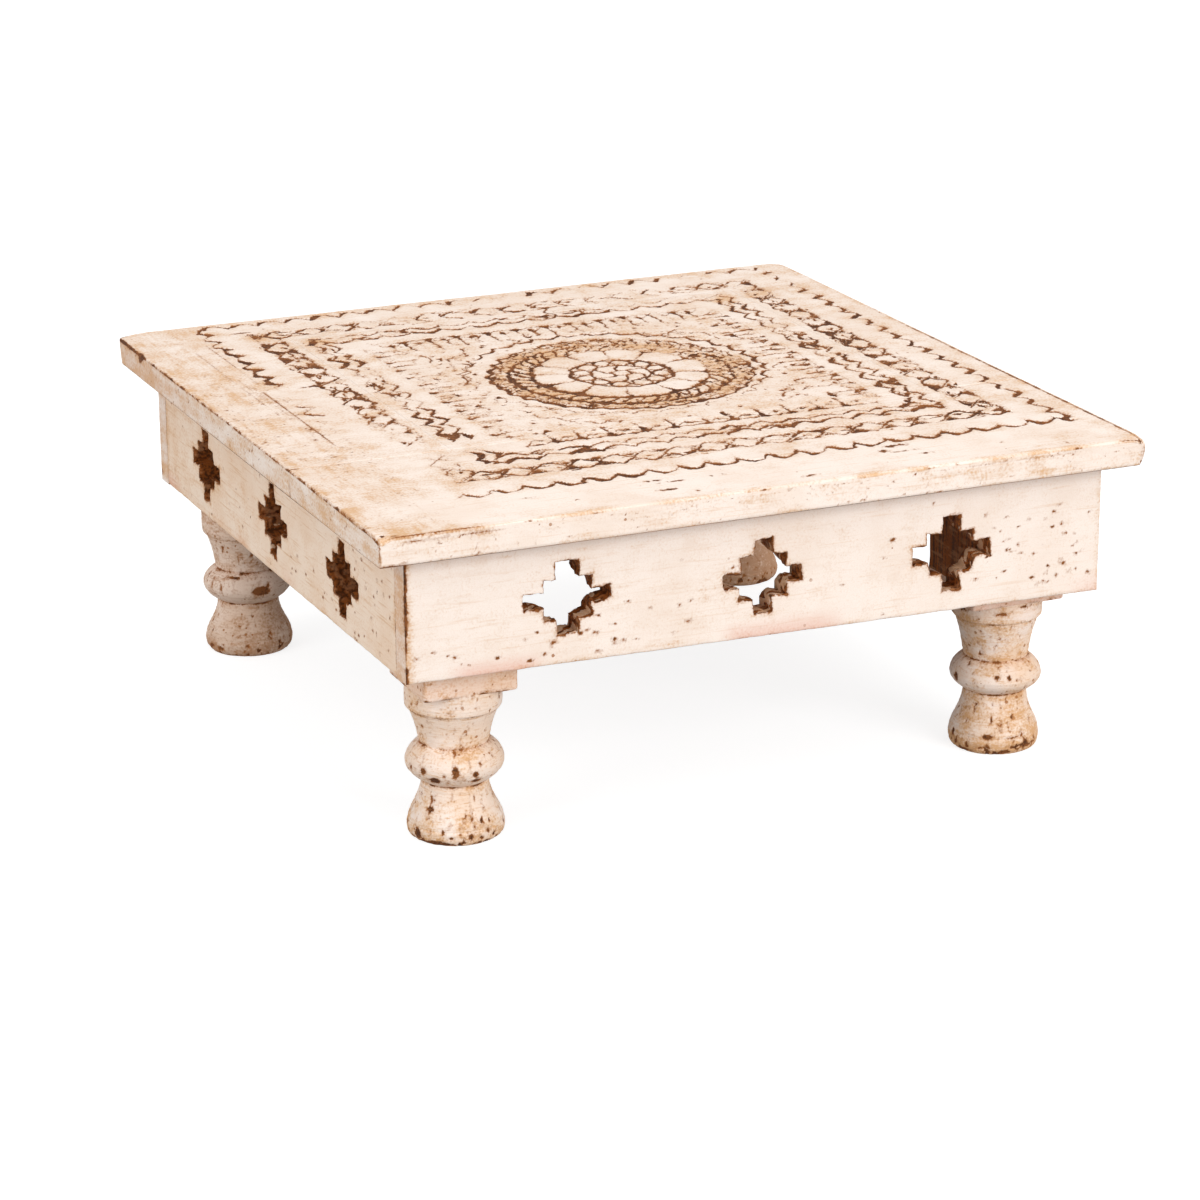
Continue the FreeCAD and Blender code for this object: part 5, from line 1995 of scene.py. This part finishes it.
def back_legs() -> tuple[Leg, ...]:
    """The two back legs, right and left.

    Returns:
        The right one and the left one.
    """
    left_spots = ((270, 31.0, 3.9, 2.2), (214, 31.5, 0.5, 1.2), (196, 33.0, 0.6, 2.2), (232, 36.6, 3.6, 0.5))
    uneven = (0.0, 4.2, 23.2, 31.0, 38.2, 54.6, 64.0)
    return (
        # Painted shade: the back legs stand in the table's shadow, so their feet take more wash, and the back
        # right one, seen only through a cross, a heavy wash all over.
        Leg("back_right_leg", 121, 124, 540, STRAIGHT, 0.8, foot_dirt_and_shade=0.1),
        Leg("back_left_leg", -121, 124, 560, uneven, 0.12, (-2.4, 1.0), left_spots, foot_dirt_and_shade=0.1),
    )


def main() -> None:
    """Build the table on its frame, sub-assembly by sub-assembly, then the studio."""
    logging.basicConfig(level=logging.INFO, format="%(message)s")
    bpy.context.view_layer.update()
    top = DistressedPaint("top_paint", Grain.ALONG_X, Grain.ALONG_X, specks=0.03, mottle=0.38)
    Tabletop().build(top.make())

    across = DistressedPaint(
        "apron_paint_across", Grain.ALONG_X, Grain.ALONG_X, specks=0.02, mottle=0.3, streak=0.25,
    ).make()
    endways = DistressedPaint(
        "apron_paint_endways", Grain.ALONG_Y, Grain.ALONG_Y, ivory=linear(252, 231, 211),
        cream=linear(237, 202, 170), specks=0.12, mottle=0.4, grit=0.45, streak=0.7,
    ).make()
    for board in apron_boards():
        board.build(endways if board.butted else across)

    spindle = DistressedPaint(
        "leg_paint", Grain.ROUND_Z, Grain.ALONG_Z, cream=linear(238, 208, 178),
        wash=linear(214, 164, 108), specks=0.3, mottle=0.6, grit=0.5, streak=0.8,
    ).make()
    # Painted shade: the back legs' paint is a darker copy of the front legs', for the table's shadow over
    # them, with more specks of dirt.
    dust_and_shade_paint = DistressedPaint(
        "leg_paint_dust_and_shade", Grain.ROUND_Z, Grain.ALONG_Z, ivory=linear(246, 228, 212),
        cream=linear(220, 192, 166), wash=linear(182, 138, 100), specks=0.6, mottle=0.6, grit=0.7, streak=0.8,
    ).make()
    for legs, paint in ((front_legs(), spindle), (back_legs(), dust_and_shade_paint)):
        for leg in legs:
            leg.build(paint)

    iron = NailIron().make()
    TopNails().build(iron)
    for name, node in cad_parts.items():
        if name.endswith("_apron_nails"):
            node.data.materials.clear()
            node.data.materials.append(iron)
            log.info("%s: kept, in iron", name)
    Studio().build()


if __name__ == "__main__":
    main()
